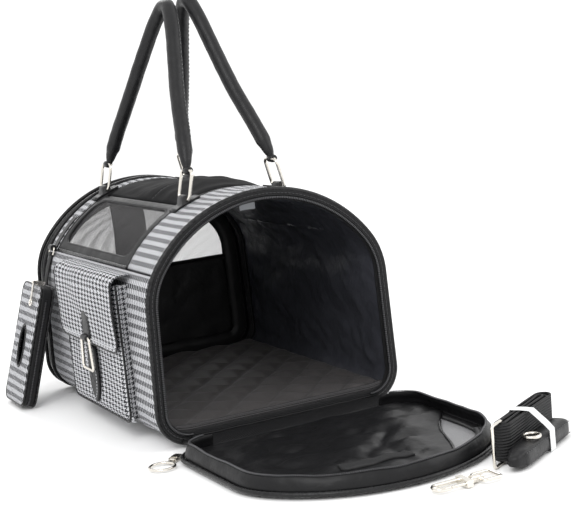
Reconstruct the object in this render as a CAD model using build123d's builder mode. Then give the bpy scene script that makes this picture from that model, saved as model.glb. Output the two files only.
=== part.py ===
from build123d import *
from math import asin, atan2, cos, degrees, radians, sin, sqrt
import os

os.makedirs("parts", exist_ok=True)

# A soft-sided tote carrier.  X runs across it, Y along it (the open end is at -Y) and Z up.
# The origin is on the floor, under the middle of the two end rims.  Millimetres.

# Body: an arch-shaped tube
half_width = 154.0      # outer face of the side panels
crown_z = 276.0         # outer face at the crown
base_z = 6.0            # underside of the base, on its feet
corner_r = 37.0         # bottom corners
shoulder_r = 84.0       # shoulders
shoulder_z = 160.0      # where the straight side ends
side_lean = 1.5         # degrees by which the sides lean inwards
front_y = -211.0        # end of the tube at the open door
rear_y = 186.0          # end of the tube at the closed door
wall = 4.0              # padded fabric
lining_gap = 0.2
lining_t = 1.0

# Bands, windows and pipings
front_band_y = -121.0   # inner edge of the wide front band
rear_band_y = 150.0     # inner edge of the narrow rear band
window_z = 200.0        # seam under the mesh windows
window_x = 62.0         # seam beside the top panel
frame_w = 12.0          # black border of a window
piping_r = 2.5
seam = 2 * piping_r + 0.2
piping_out = 1.3        # how far the edge piping's centre stands outside the panel
binding_t = 10.0        # thickness of the bound end of the tube
binding_len = 7.0

# End doors
rim_depth = 27.0        # gusset between a door panel and the tube
rear_rim_depth = 24.0
rim_t = 3.0
door_gap = 0.8
hinge_z = 3.2           # door hinge line above the floor
door_panel_t = 3.0
door_window_in = 26.0   # border around a door's mesh window
rear_window_low_z = 145.0   # sill of the rear door's window
mesh_t = 1.0

# Handles
handle_x = 62.0
handle_z = 271.0        # hinge line of the rings
handle_top_x = 9.5      # half the distance between the two grips at the top
handle_rise = 238.0
tab_front_y = -128.0
tab_rear_y = 155.0
tab_w = 18.0
ring_wire_r = 2.0
ring_w = 32.0
ring_h = 34.0

# Side pocket
pocket_front_y = -143.0
pocket_rear_y = 62.0
pocket_low_z = 22.0
pocket_top_z = 186.0
pocket_out_x = 168.0
pocket_t = 2.0
flap_low_z = 106.0
flap_top_z = 193.0

# Waste-bag pouch
pouch_y = 158.0
pouch_w = 84.0
pouch_h = 160.0
pouch_d = 19.0
pouch_t = 1.6
pouch_hinge_z = 203.0
pouch_hinge_x = 143.8
pouch_drop = 48.0       # hinge to the pouch's top
pouch_tilt = 17.0       # degrees by which it leans out, standing on its lower edge

# Shoulder strap bundle, beside the open door
bundle_x = 141.0
bundle_y = -498.0
bundle_turn = 31.6
webbing_w = 38.0

# The tangent arcs of the arch
lean = radians(side_lean)
corner_x = half_width - corner_r
corner_z = base_z + corner_r
low_side_x = corner_x + corner_r * cos(lean)
low_side_z = corner_z + corner_r * sin(lean)
high_side_x = low_side_x - (shoulder_z - low_side_z) * sin(lean) / cos(lean)
shoulder_cx = high_side_x - shoulder_r * cos(lean)
shoulder_cz = shoulder_z - shoulder_r * sin(lean)
drop_z = shoulder_cz - crown_z
crown_r = (shoulder_r**2 - shoulder_cx**2 - drop_z**2) / (2 * (drop_z + shoulder_r))
crown_cz = crown_z - crown_r
join_angle = degrees(atan2(shoulder_cz - crown_cz, shoulder_cx))

named_parts = []


def write(piece, name):
    """Label a finished piece and write it as its own STEP file."""
    piece.part.label = name
    export_step(piece.part, f"parts/{name}.step")
    named_parts.append(name)


def upright(y):
    """A plane across the tube at y, facing -Y."""
    return Plane(origin=(0, y, 0), x_dir=(1, 0, 0), z_dir=(0, -1, 0))


def lying(height):
    """The plane of the open front door, the given height above its outer face."""
    hinge_y = front_y - rim_depth - door_gap
    return Plane(origin=(0, hinge_y + hinge_z, hinge_z + height), x_dir=(1, 0, 0), z_dir=(0, 0, -1))


def right_edges(inset):
    """The right half of the arch, moved inwards by inset, from the base to the crown."""
    CenterArc((corner_x, corner_z), corner_r - inset, -90, 90 + side_lean)
    start = (corner_x + (corner_r - inset) * cos(lean), corner_z + (corner_r - inset) * sin(lean))
    reach = shoulder_r - inset
    end = (shoulder_cx + reach * cos(lean), shoulder_cz + reach * sin(lean))
    Line(start, end)
    CenterArc((shoulder_cx, shoulder_cz), reach, side_lean, join_angle - side_lean)
    CenterArc((0, crown_cz), crown_r - inset, join_angle, 90 - join_angle)


def left_edges(inset):
    """The left half of the arch, from the crown down to the base."""
    CenterArc((0, crown_cz), crown_r - inset, 90, 90 - join_angle)
    reach = shoulder_r - inset
    CenterArc((-shoulder_cx, shoulder_cz), reach, 180 - join_angle, join_angle - side_lean)
    start = (-shoulder_cx - reach * cos(lean), shoulder_cz + reach * sin(lean))
    corner = corner_r - inset
    end = (-corner_x - corner * cos(lean), corner_z + corner * sin(lean))
    Line(start, end)
    CenterArc((-corner_x, corner_z), corner, 180 - side_lean, 90 + side_lean)


def arch(inset, plane):
    """The arch as a face on a plane, its edge moved inwards by inset."""
    with BuildSketch(plane) as face:
        with BuildLine():
            Line((-corner_x, base_z + inset), (corner_x, base_z + inset))
            right_edges(inset)
            left_edges(inset)
        make_face()
    return face.sketch


def arch_ring(outer, inner, plane):
    """The strip between two insets of the arch."""
    with BuildSketch(plane) as ring:
        with BuildLine():
            Line((-corner_x, base_z + outer), (corner_x, base_z + outer))
            right_edges(outer)
            left_edges(outer)
        make_face()
        with BuildLine():
            Line((-corner_x, base_z + inner), (corner_x, base_z + inner))
            right_edges(inner)
            left_edges(inner)
        make_face(mode=Mode.SUBTRACT)
    return ring.sketch


def tube(outer, inner, start_y, end_y):
    """Add a length of the arch-shaped tube."""
    extrude(arch_ring(outer, inner, upright(start_y)), amount=start_y - end_y)


def keep(low, high):
    """Keep only what lies in a box given by two corners."""
    size = [b - a for a, b in zip(low, high)]
    middle = [(a + b) / 2 for a, b in zip(low, high)]
    with Locations(tuple(middle)):
        Box(*size, mode=Mode.INTERSECT)


def cut(low, high):
    """Cut away a box given by two corners."""
    size = [b - a for a, b in zip(low, high)]
    middle = [(a + b) / 2 for a, b in zip(low, high)]
    with Locations(tuple(middle)):
        Box(*size, mode=Mode.SUBTRACT)


def cord_along(path, radius):
    """Add a round cord along a path."""
    with BuildSketch(Plane(origin=path @ 0, z_dir=path % 0)) as section:
        Circle(radius)
    sweep(section.sketch, path=path)


# ---------------------------------------------------------------- base, sides and bands

with BuildPart() as base_panel:
    tube(0, wall, front_y + binding_len, rear_y - binding_len)
    keep((-corner_x, -500, 0), (corner_x, 500, 30))
write(base_panel, "base_panel")

with BuildPart() as base_board:
    with BuildSketch(Plane.XY.offset(base_z + wall + lining_gap + lining_t + 0.2)):
        with Locations((0, (front_y + rear_y) / 2)):
            RectangleRounded(2 * corner_x - 6, rear_y - front_y - 2 * binding_len - 6, 15)
    extrude(amount=2.5)
write(base_board, "base_board")

with BuildPart() as feet:
    with BuildSketch():
        with GridLocations(2 * 100, 300, 2, 2):
            Circle(9)
    extrude(amount=base_z)
    chamfer(feet.edges().group_by(Axis.Z)[0], 1.2)
write(feet, "feet")

for side, name in ((-1, "left_side_panel"), (1, "right_side_panel")):
    with BuildPart() as side_panel:
        tube(0, wall, front_y + binding_len, rear_y - binding_len)
        inner_x = side * corner_x
        outer_x = side * (half_width + 10)
        keep((min(inner_x, outer_x), -500, 0), (max(inner_x, outer_x), 500, window_z - seam / 2))
    write(side_panel, name)

with BuildPart() as front_band:
    tube(0, wall, front_y + binding_len, front_band_y)
    keep((-200, -500, window_z - seam / 2), (200, 500, 300))
write(front_band, "front_band")

with BuildPart() as rear_band:
    tube(0, wall, rear_band_y, rear_y - binding_len)
    keep((-200, -500, window_z - seam / 2), (200, 500, 300))
write(rear_band, "rear_band")

# ---------------------------------------------------------------- windows and top panel

field_front_y = front_band_y + seam
field_rear_y = rear_band_y - seam
field_low_z = window_z + seam / 2
frame_t = 2.4

for side, name in ((-1, "left"), (1, "right")):
    outer_x = side * (half_width + 10)
    top_x = side * window_x
    mesh_top_x = side * (window_x + frame_w)
    with BuildPart() as window_frame:
        tube(0.3, 0.3 + frame_t, field_front_y, field_rear_y)
        keep((min(top_x, outer_x), -500, field_low_z), (max(top_x, outer_x), 500, 300))
        hole_low = (min(mesh_top_x, outer_x), field_front_y + frame_w, field_low_z + frame_w)
        hole_high = (max(mesh_top_x, outer_x), field_rear_y - frame_w, 300)
        cut(hole_low, hole_high)
    write(window_frame, f"{name}_window_frame")
    with BuildPart() as window_mesh:
        tube(1.0, 1.0 + mesh_t, field_front_y, field_rear_y)
        keep(hole_low, hole_high)
    write(window_mesh, f"{name}_window")

with BuildPart() as top_panel:
    tube(0.3, 0.3 + frame_t, field_front_y, field_rear_y)
    keep((-window_x, -500, field_low_z), (window_x, 500, 300))
write(top_panel, "top_panel")

# ---------------------------------------------------------------- pipings and bound ends


def arch_path(inset, y):
    """A whole turn of the arch, from just left of the base's middle back to just right of it."""
    with BuildLine(upright(y)) as line:
        Line((0.5, base_z + inset), (corner_x, base_z + inset))
        right_edges(inset)
        left_edges(inset)
        Line((-corner_x, base_z + inset), (-0.5, base_z + inset))
    return line.wire()


def over_path(inset, y):
    """The arch from one window seam over the crown to the other."""
    reach = shoulder_r - inset
    start = degrees(asin((window_z - shoulder_cz) / reach))
    with BuildLine(upright(y)) as line:
        CenterArc((shoulder_cx, shoulder_cz), reach, start, join_angle - start)
        CenterArc((0, crown_cz), crown_r - inset, join_angle, 180 - 2 * join_angle)
        CenterArc((-shoulder_cx, shoulder_cz), reach, 180 - join_angle, join_angle - start)
    return line.wire()


for y, name in ((front_y + piping_r + 0.2, "front"), (rear_y - piping_r - 0.2, "rear")):
    with BuildPart() as edge_piping:
        cord_along(arch_path(-piping_out, y), piping_r)
    write(edge_piping, f"{name}_edge_piping")

seam_inset = 1.6
seam_x = shoulder_cx + sqrt((shoulder_r - seam_inset) ** 2 - (window_z - shoulder_cz) ** 2)
with BuildPart() as window_piping:
    cord_along(over_path(seam_inset, front_band_y + seam / 2), piping_r)
    cord_along(over_path(seam_inset, rear_band_y - seam / 2), piping_r)
    run = field_rear_y - field_front_y
    for side in (-1, 1):
        with BuildSketch(upright(field_front_y)):
            with Locations((side * seam_x, window_z)):
                Circle(piping_r)
        extrude(amount=-run)
write(window_piping, "window_piping")

for start, end, name in (
    (front_y, front_y + binding_len, "front_binding"),
    (rear_y - binding_len, rear_y, "rear_binding"),
):
    with BuildPart() as binding:
        tube(piping_out, binding_t, start, end)
    write(binding, name)

# ---------------------------------------------------------------- lining

lining_out = wall + lining_gap
with BuildPart() as lining:
    tube(lining_out, lining_out + lining_t, front_y + binding_len + 0.2, rear_y - binding_len - 0.2)
    for side in (-1, 1):
        near_x = side * (window_x + frame_w)
        far_x = side * (half_width + 10)
        low = (min(near_x, far_x), field_front_y + frame_w, field_low_z + frame_w)
        cut(low, (max(near_x, far_x), field_rear_y - frame_w, 300))
write(lining, "lining")

# ---------------------------------------------------------------- thresholds under the doors

threshold_t = 2.0
door_hinge_y = front_y - rim_depth - door_gap
rear_hinge_y = rear_y + rear_rim_depth + door_gap
for start, end, name in (
    (door_hinge_y + 1.0, front_y, "front_threshold"),
    (rear_y, rear_hinge_y - 1.0, "rear_threshold"),
):
    with BuildPart() as threshold:
        with BuildSketch(Plane.XY.offset(base_z + piping_out)):
            with Locations((0, (start + end) / 2)):
                Rectangle(2 * corner_x - 2, end - start)
        extrude(amount=threshold_t)
    write(threshold, name)

# ---------------------------------------------------------------- front door, lying open


rim_out = 1.4
with BuildPart() as front_door_rim:
    extrude(arch_ring(rim_out, rim_out + rim_t, lying(0)), amount=-rim_depth)
    cut((-corner_x - 1, door_hinge_y - 40, -5), (corner_x + 1, door_hinge_y + 20, 60))
write(front_door_rim, "front_door_rim")


with BuildPart() as front_door_panel:
    extrude(arch(rim_out + rim_t + 0.2, lying(0)), amount=-door_panel_t)
    extrude(arch(door_window_in, lying(0)), amount=-door_panel_t, mode=Mode.SUBTRACT)
write(front_door_panel, "front_door_panel")

with BuildPart() as front_door_mesh:
    extrude(arch(door_window_in + 0.1, lying(1)), amount=-mesh_t)
write(front_door_mesh, "front_door_mesh")

with BuildPart() as front_door_flap:
    with BuildSketch(lying(door_panel_t + 0.4)):
        add(arch(rim_out + rim_t + 4.0, Plane.XY))
        with BuildLine():
            Spline((20, 300), (70, 250), (125, 135), (200, 90))
            Polyline((200, 90), (220, 300), (20, 300))
        make_face(mode=Mode.SUBTRACT)
    extrude(amount=-1.4)
write(front_door_flap, "front_door_flap")

with BuildPart() as front_door_piping:
    with BuildLine(lying(piping_r)) as outer_edge:
        right_edges(-piping_out)
        left_edges(-piping_out)
    cord_along(outer_edge.wire(), piping_r)
write(front_door_piping, "front_door_piping")

# ---------------------------------------------------------------- rear door, closed

rear_face = Plane(origin=(0, rear_y + door_gap + rear_rim_depth, 0), x_dir=(1, 0, 0), z_dir=(0, -1, 0))
with BuildPart() as rear_door_rim:
    extrude(arch_ring(rim_out, rim_out + rim_t, rear_face), amount=rear_rim_depth)
    cut((-corner_x - 1, 150, 0), (corner_x + 1, 260, base_z + 30))
write(rear_door_rim, "rear_door_rim")

with BuildPart() as rear_door_window:
    extrude(arch(door_window_in, rear_face), amount=door_panel_t)
    keep((-200, 150, rear_window_low_z), (200, 260, 300))

with BuildPart() as rear_door_panel:
    extrude(arch(rim_out + rim_t + 0.2, rear_face), amount=door_panel_t)
    add(rear_door_window.part, mode=Mode.SUBTRACT)
write(rear_door_panel, "rear_door_panel")

with BuildPart() as rear_door_mesh:
    extrude(arch(door_window_in + 0.1, rear_face.offset(1)), amount=mesh_t)
    keep((-200, 150, rear_window_low_z + 0.1), (200, 260, 300))
write(rear_door_mesh, "rear_door_mesh")

strip_x = -17.0
strip_w = 48.0
with BuildPart() as rear_door_strip:
    extrude(arch(door_window_in - 6, rear_face.offset(door_panel_t + 0.3)), amount=1.5)
    keep((strip_x - strip_w / 2, 100, 0), (strip_x + strip_w / 2, 300, 300))
write(rear_door_strip, "rear_door_strip")

with BuildPart() as rear_door_piping:
    with BuildLine(rear_face.offset(piping_r)) as outer_edge:
        right_edges(-piping_out)
        left_edges(-piping_out)
    cord_along(outer_edge.wire(), piping_r)
write(rear_door_piping, "rear_door_piping")

# ---------------------------------------------------------------- side pocket and its flap

pocket_mid_y = (pocket_front_y + pocket_rear_y) / 2
pocket_len = pocket_rear_y - pocket_front_y
pocket_h = pocket_top_z - pocket_low_z
pocket_depth = 30.0     # reaches in past the side panel before it is cut back to it

with BuildPart() as side_pocket:
    with BuildSketch(Plane.YZ.offset(-pocket_out_x)):
        with Locations((pocket_mid_y, (pocket_low_z + pocket_top_z) / 2)):
            RectangleRounded(pocket_len, pocket_h, 6)
    extrude(amount=pocket_depth)
    with BuildSketch(Plane.YZ.offset(-pocket_out_x + pocket_t)):
        with Locations((pocket_mid_y, (pocket_low_z + pocket_top_z) / 2 + 10)):
            Rectangle(pocket_len - 2 * pocket_t, pocket_h + 20 - 2 * pocket_t)
    extrude(amount=pocket_depth, mode=Mode.SUBTRACT)
    extrude(arch(-0.05, upright(-300)), amount=-600, mode=Mode.SUBTRACT)
write(side_pocket, "side_pocket")

flap_t = 1.8
flap_out_x = pocket_out_x + 1.0 + flap_t
flap_root_x = 145.6
with BuildPart() as pocket_flap:
    with BuildSketch(upright(pocket_front_y - 1)):
        with BuildLine():
            FilletPolyline(
                (-flap_root_x, flap_top_z + 2.5),
                (-flap_out_x + flap_t / 2, flap_top_z - 1.0),
                (-flap_out_x + flap_t / 2, flap_low_z),
                radius=7,
            )
        trace(line_width=flap_t)
    extrude(amount=-(pocket_len + 2))
    with BuildSketch(Plane.YZ.offset(-200)):
        with Locations((pocket_mid_y, flap_low_z + 60)):
            RectangleRounded(pocket_len + 2, 120, 16)
    extrude(amount=100, mode=Mode.INTERSECT)
write(pocket_flap, "pocket_flap")

strap_w = 26.0
strap_t = 1.8
strap_x = -flap_out_x - 0.2
loop_wire_r = 1.9
loop_x = strap_x - strap_t - 2.3
with BuildPart() as flap_strap:
    with BuildSketch(Plane.YZ.offset(strap_x - strap_t)):
        with Locations((pocket_mid_y, 134)):
            SlotOverall(50, strap_w, rotation=90)
    extrude(amount=strap_t)
    with BuildSketch(Plane.XZ.offset(-(pocket_mid_y - 8))):
        with Locations((loop_x, 113)):
            Circle(3.6)
            Circle(2.1, mode=Mode.SUBTRACT)
    extrude(amount=-16)
write(flap_strap, "flap_strap")

with BuildPart() as flap_loop:
    with BuildLine(Plane.YZ.offset(loop_x)) as loop_line:
        FilletPolyline(
            (pocket_mid_y, 113),
            (pocket_mid_y + 14, 113),
            (pocket_mid_y + 19, 74),
            (pocket_mid_y - 19, 74),
            (pocket_mid_y - 14, 113),
            (pocket_mid_y - 0.4, 113),
            radius=4.5,
        )
    cord_along(loop_line.wire(), loop_wire_r)
write(flap_loop, "flap_loop")

tongue_x = -pocket_out_x - 0.1
with BuildPart() as pocket_tongue:
    with BuildSketch(Plane.YZ.offset(tongue_x - 2.6)):
        with BuildLine():
            Spline(
                (pocket_mid_y, 34),
                (pocket_mid_y + 13, 46),
                (pocket_mid_y + 16, 72),
                (pocket_mid_y + 12, 101),
            )
            Line((pocket_mid_y + 12, 101), (pocket_mid_y - 12, 101))
            Spline(
                (pocket_mid_y - 12, 101),
                (pocket_mid_y - 16, 72),
                (pocket_mid_y - 13, 46),
                (pocket_mid_y, 34),
            )
        make_face()
    extrude(amount=2.6)
write(pocket_tongue, "pocket_tongue")

# ---------------------------------------------------------------- carrying handles

handle_mid_y = (tab_front_y + tab_rear_y) / 2
handle_half = (tab_rear_y - tab_front_y) / 2
tab_r = 5.2
bore_clear = 0.3
grip_r = 8.5
grip_flat_r = 7.5
grip_low = 42.0
grip_knee_y = 84.0
grip_knee = 120.0
grip_vertex = 262.0
handle_tilt = degrees(asin((handle_x - handle_top_x) / handle_rise))
loop_r = 4.6


def handle_plane(side):
    """The leaning plane of one handle: its x is the bag's Y, its y runs up to the grip."""
    up_x = -side * sin(radians(handle_tilt))
    up_z = cos(radians(handle_tilt))
    return Plane(origin=(side * handle_x, 0, handle_z), x_dir=(0, 1, 0), z_dir=(up_z, 0, -up_x))


for side, name in ((-1, "left"), (1, "right")):
    with BuildPart() as handle_tabs:
        for y in (tab_front_y, tab_rear_y):
            with BuildSketch(upright(y - tab_w / 2)):
                with Locations((side * handle_x, handle_z)):
                    Circle(tab_r)
                with Locations((side * handle_x, handle_z - 8)):
                    Rectangle(2 * tab_r, 16)
                with Locations((side * handle_x, handle_z - 12)):
                    Rectangle(26, 16)
            extrude(amount=-tab_w)
            with BuildSketch(upright(y - tab_w / 2)):
                with Locations((side * handle_x, handle_z)):
                    Circle(ring_wire_r + bore_clear)
            extrude(amount=-tab_w, mode=Mode.SUBTRACT)
        extrude(arch(-piping_r + 0.9, upright(-300)), amount=-600, mode=Mode.SUBTRACT)
    write(handle_tabs, f"{name}_handle_tabs")

    lean_plane = handle_plane(side)
    with BuildPart() as handle_rings:
        for y in (tab_front_y, tab_rear_y):
            with BuildLine(lean_plane) as ring_line:
                FilletPolyline(
                    (y, 0),
                    (y + ring_w / 2, 0),
                    (y + ring_w / 2, ring_h),
                    (y - ring_w / 2, ring_h),
                    (y - ring_w / 2, 0),
                    (y - 0.3, 0),
                    radius=6,
                )
            cord_along(ring_line.wire(), ring_wire_r)
    write(handle_rings, f"{name}_handle_rings")

    with BuildPart() as handle:
        with BuildLine(lean_plane) as grip_line:
            FilletPolyline(
                (handle_mid_y - handle_half + 4, grip_low),
                (handle_mid_y - grip_knee_y, grip_knee),
                (handle_mid_y, grip_vertex),
                (handle_mid_y + grip_knee_y, grip_knee),
                (handle_mid_y + handle_half - 4, grip_low),
                radius=[300, 28, 300],
            )
        grip_path = grip_line.wire()
        start = Plane(origin=grip_path @ 0, x_dir=lean_plane.z_dir, z_dir=grip_path % 0)
        with BuildSketch(start) as grip_section:
            Ellipse(grip_r, grip_flat_r)
        sweep(grip_section.sketch, path=grip_path)
        for end_y, place in ((tab_front_y, 0), (tab_rear_y, 1)):
            outward = 1 if place else -1
            tangent = (grip_path % place) * outward
            tip = Plane(origin=grip_path @ place, x_dir=lean_plane.z_dir, z_dir=tangent)
            with BuildSketch(tip.offset(-0.01)) as wide_end:
                Ellipse(grip_r, grip_flat_r)
            with BuildSketch(tip.offset(6.5)) as narrow_end:
                Ellipse(2.6, 5.5)
            loft([wide_end.sketch.faces()[0], narrow_end.sketch.faces()[0]])
        for end_y in (tab_front_y, tab_rear_y):
            end_origin = lean_plane.from_local_coords(Vector(end_y - 6, ring_h, 0))
            with BuildSketch(Plane(origin=end_origin, x_dir=lean_plane.z_dir, z_dir=(0, 1, 0))):
                Circle(loop_r)
            extrude(amount=12)
        for end_y in (tab_front_y, tab_rear_y):
            end_origin = lean_plane.from_local_coords(Vector(end_y - 20, ring_h, 0))
            with BuildSketch(Plane(origin=end_origin, x_dir=lean_plane.z_dir, z_dir=(0, 1, 0))):
                Circle(ring_wire_r + 0.1)
            extrude(amount=40, mode=Mode.SUBTRACT)
    write(handle, f"{name}_handle")

# ---------------------------------------------------------------- floor pad

pad_low = base_z + wall + lining_gap + lining_t + 0.2 + 2.5 + 0.3
pad_t = 12.6
with BuildPart() as quilted_pad:
    pad_len = rear_y - front_y - 2 * binding_len - 2
    extrude(arch(lining_out + lining_t + 0.9, upright(front_y + binding_len + 1)), amount=-pad_len)
    keep((-200, -500, pad_low), (200, 500, pad_low + pad_t))
write(quilted_pad, "quilted_pad")

# ---------------------------------------------------------------- zip sliders and their pulls

slider_bar_r = 0.9
slider_bar_x = 8.5
slider_bar_z = 2.6


def slider_solid():
    """A zip slider in the current workplane: body at the origin, pull bar ahead along x."""
    Box(12, 9, 5.2)
    fillet(edges(Select.LAST).group_by(SortBy.LENGTH)[0], 1.8)
    for ear_y in (-3.9, 3.9):
        with Locations((slider_bar_x - 2.0, ear_y, 0)):
            Box(7, 1.2, 4.0)
    with Locations((slider_bar_x, 0, 0)):
        Cylinder(slider_bar_r, 8, rotation=(90, 0, 0))


def pull_solid(link, ring_major, ring_minor):
    """A ring pull on that bar: barrel, flat link and ring, lying ahead along x."""
    with Locations((slider_bar_x, 0, 0)):
        Cylinder(2.1, 5.6, rotation=(90, 0, 0))
    with Locations((slider_bar_x + 1 + link / 2, 0, 0)):
        Box(link, 5.0, 1.6)
    with Locations((slider_bar_x + 1 + link + ring_major, 0, 0)):
        Torus(ring_major, ring_minor)
    with Locations((slider_bar_x, 0, 0)):
        Cylinder(slider_bar_r + 0.15, 12, rotation=(90, 0, 0), mode=Mode.SUBTRACT)


door_corner_y = door_hinge_y - (corner_z - hinge_z)
slider_track_r = 47.5
rest_angle = radians(139)
front_slider_x = -corner_x + slider_track_r * cos(rest_angle)
front_slider_y = door_corner_y + slider_track_r * sin(rest_angle)
front_slider = Plane(origin=(front_slider_x, front_slider_y, 3.2), x_dir=(-0.77, -0.64, 0), z_dir=(0, 0, 1))
with BuildPart(front_slider) as front_zip_slider:
    slider_solid()
write(front_zip_slider, "front_zip_slider")
with BuildPart(front_slider) as front_zip_pull:
    pull_solid(9, 14, 1.5)
write(front_zip_pull, "front_zip_pull")

rear_slider = Plane(
    origin=(corner_x + slider_track_r - 1, rear_y + 1, corner_z + 8), x_dir=(0, 0, -1), z_dir=(1, 0, 0)
)
with BuildPart(rear_slider) as rear_zip_slider:
    slider_solid()
write(rear_zip_slider, "rear_zip_slider")
with BuildPart(rear_slider) as rear_zip_pull:
    pull_solid(6, 9, 1.4)
write(rear_zip_pull, "rear_zip_pull")

# ---------------------------------------------------------------- waste-bag pouch on its tab

tilt = radians(pouch_tilt)
pouch_plane = Plane(
    origin=(-pouch_hinge_x, pouch_y, pouch_hinge_z), x_dir=(0, 1, 0), z_dir=(-cos(tilt), 0, sin(tilt))
)
pouch_wire_r = 1.3
with BuildPart() as pouch_tab:
    extrude(arch_ring(-1.9, -0.1, upright(pouch_y - 6)), amount=-12)
    keep((-200, 0, pouch_hinge_z - 1), (0, 300, pouch_hinge_z + 36))
    with BuildSketch(upright(pouch_y - 6)):
        with Locations((-pouch_hinge_x, pouch_hinge_z)):
            Circle(4.2)
    extrude(amount=-12)
    with BuildSketch(upright(pouch_y - 6)):
        with Locations((-pouch_hinge_x, pouch_hinge_z)):
            Circle(pouch_wire_r + 0.25)
    extrude(amount=-12, mode=Mode.SUBTRACT)
write(pouch_tab, "pouch_tab")

with BuildPart() as pouch_ring:
    with BuildLine(pouch_plane) as pouch_ring_line:
        FilletPolyline((0, 0), (9, 0), (9, 9), (-9, 9), (-9, 0), (-0.3, 0), radius=2.6)
    cord_along(pouch_ring_line.wire(), pouch_wire_r)
write(pouch_ring, "pouch_ring")

with BuildPart(pouch_plane) as pouch_strap:
    with Locations((0, 9, 0)):
        Cylinder(3.0, 10.5, rotation=(0, 90, 0))
    with Locations((0, (pouch_drop + 11) / 2, 0)):
        Box(10.5, pouch_drop - 11, 1.8)
    with Locations((0, 9, 0)):
        Cylinder(pouch_wire_r + 0.1, 12, rotation=(0, 90, 0), mode=Mode.SUBTRACT)
write(pouch_strap, "pouch_strap")

pouch_in = 0.0          # inner face, outwards from the hinge plane
shell_top = pouch_plane.from_local_coords(Vector(0, pouch_drop + 3, 0))
shell_plane = Plane(origin=shell_top, x_dir=pouch_plane.x_dir, z_dir=pouch_plane.z_dir)
with BuildPart() as pouch_shell:
    with BuildSketch(shell_plane.offset(pouch_in)):
        with Locations((0, pouch_h / 2)):
            RectangleRounded(pouch_w, pouch_h, 12)
    extrude(amount=pouch_d)
    with BuildSketch(shell_plane.offset(pouch_in + pouch_t)):
        with Locations((0, pouch_h / 2)):
            RectangleRounded(pouch_w - 2 * pouch_t, pouch_h - 2 * pouch_t, 10.4)
    extrude(amount=pouch_d - 2 * pouch_t, mode=Mode.SUBTRACT)
    with BuildSketch(shell_plane.offset(pouch_in + pouch_d - pouch_t - 2)):
        with Locations((0, pouch_h / 2 + 4)):
            Ellipse(13, 28)
    extrude(amount=10, mode=Mode.SUBTRACT)
write(pouch_shell, "pouch_shell")

pouch_slider = Plane(
    origin=shell_plane.from_local_coords(Vector(-20, -3.0, pouch_in + pouch_d - 4.0)),
    x_dir=shell_plane.z_dir,
    z_dir=-shell_plane.y_dir,
)
with BuildPart(pouch_slider) as pouch_zip_slider:
    slider_solid()
write(pouch_zip_slider, "pouch_zip_slider")
pouch_bar = pouch_slider.from_local_coords(Vector(slider_bar_x, 0, 0))
pouch_pull = Plane(
    origin=pouch_bar - shell_plane.y_dir * slider_bar_x, x_dir=shell_plane.y_dir, z_dir=shell_plane.z_dir
)
with BuildPart(pouch_pull) as pouch_zip_pull:
    pull_solid(22, 4, 1.2)
write(pouch_zip_pull, "pouch_zip_pull")

# ---------------------------------------------------------------- folded shoulder strap

turn = radians(bundle_turn)
bundle = Plane(origin=(bundle_x, bundle_y, 0), x_dir=(cos(turn), sin(turn), 0), z_dir=(0, 0, 1))
webbing_t = 1.5
webbing_low = 4.2
fold_mid = (10.0, 11.0)
fold_len = 130.0
fold_w = 17.2
fold_wall = 3 * webbing_t   # three turns lying against each other

with BuildPart() as shoulder_webbing:
    with BuildSketch(bundle.offset(webbing_low)):
        with Locations(fold_mid):
            SlotOverall(fold_len, fold_w)
            SlotOverall(fold_len - 2 * fold_wall, fold_w - 2 * fold_wall, mode=Mode.SUBTRACT)
    extrude(amount=webbing_w)
write(shoulder_webbing, "shoulder_webbing")

pad_left = -76.0
pad_right = 66.0
pad_depth = 22.0
pad_high = 21.0
with BuildPart(bundle) as shoulder_pad:
    with Locations(((pad_left + pad_right) / 2, -pad_depth / 2, 0.7 + pad_high / 2)):
        Box(pad_right - pad_left, pad_depth, pad_high)
    fillet(shoulder_pad.edges().filter_by(lambda e: e.length > 100), 7)
write(shoulder_pad, "shoulder_pad")

with BuildPart() as paper_band:
    band_origin = bundle.from_local_coords(Vector(-4, 0, 0))
    with BuildSketch(Plane(origin=band_origin, x_dir=bundle.y_dir, z_dir=bundle.x_dir)):
        with BuildLine():
            Polyline((-23, 0.1), (20.6, 0.1), (20.6, 43.2), (-1, 43.2), (-23, 24), (-23, 0.1))
        make_face()
        with BuildLine():
            Polyline((-22.5, 0.5), (20.1, 0.5), (20.1, 42.7), (-0.8, 42.7), (-22.5, 23.8), (-22.5, 0.5))
        make_face(mode=Mode.SUBTRACT)
    extrude(amount=13)
write(paper_band, "paper_band")

link_r = 1.8
eye_len = 20.0
eye_w = 24.0
hook_z = 5.0


def hook_part(plane):
    """A swivel snap hook lying along the plane's x: stem in the eye's boss, body and hook."""
    with Locations(plane * Location((-3.7, 0, 0))):
        Cylinder(3.2, 3.0, rotation=(0, 90, 0))
    with Locations(plane * Location((4.4, 0, 0))):
        Cylinder(1.8, 18.4, rotation=(0, 90, 0))
    with Locations(plane * Location((15.5, 0, 0))):
        Box(7, 21, 7)
    with Locations(plane * Location((15.5, 7.2, 0))):
        Cylinder(1.9, 9, rotation=(0, 90, 0), mode=Mode.SUBTRACT)
    with BuildLine(plane) as hook_line:
        FilletPolyline((18.5, -7.4), (50, -7.4), (50, 7.4), (36.2, 7.4), radius=7)
    cord_along(hook_line.wire(), 2.4)


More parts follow.
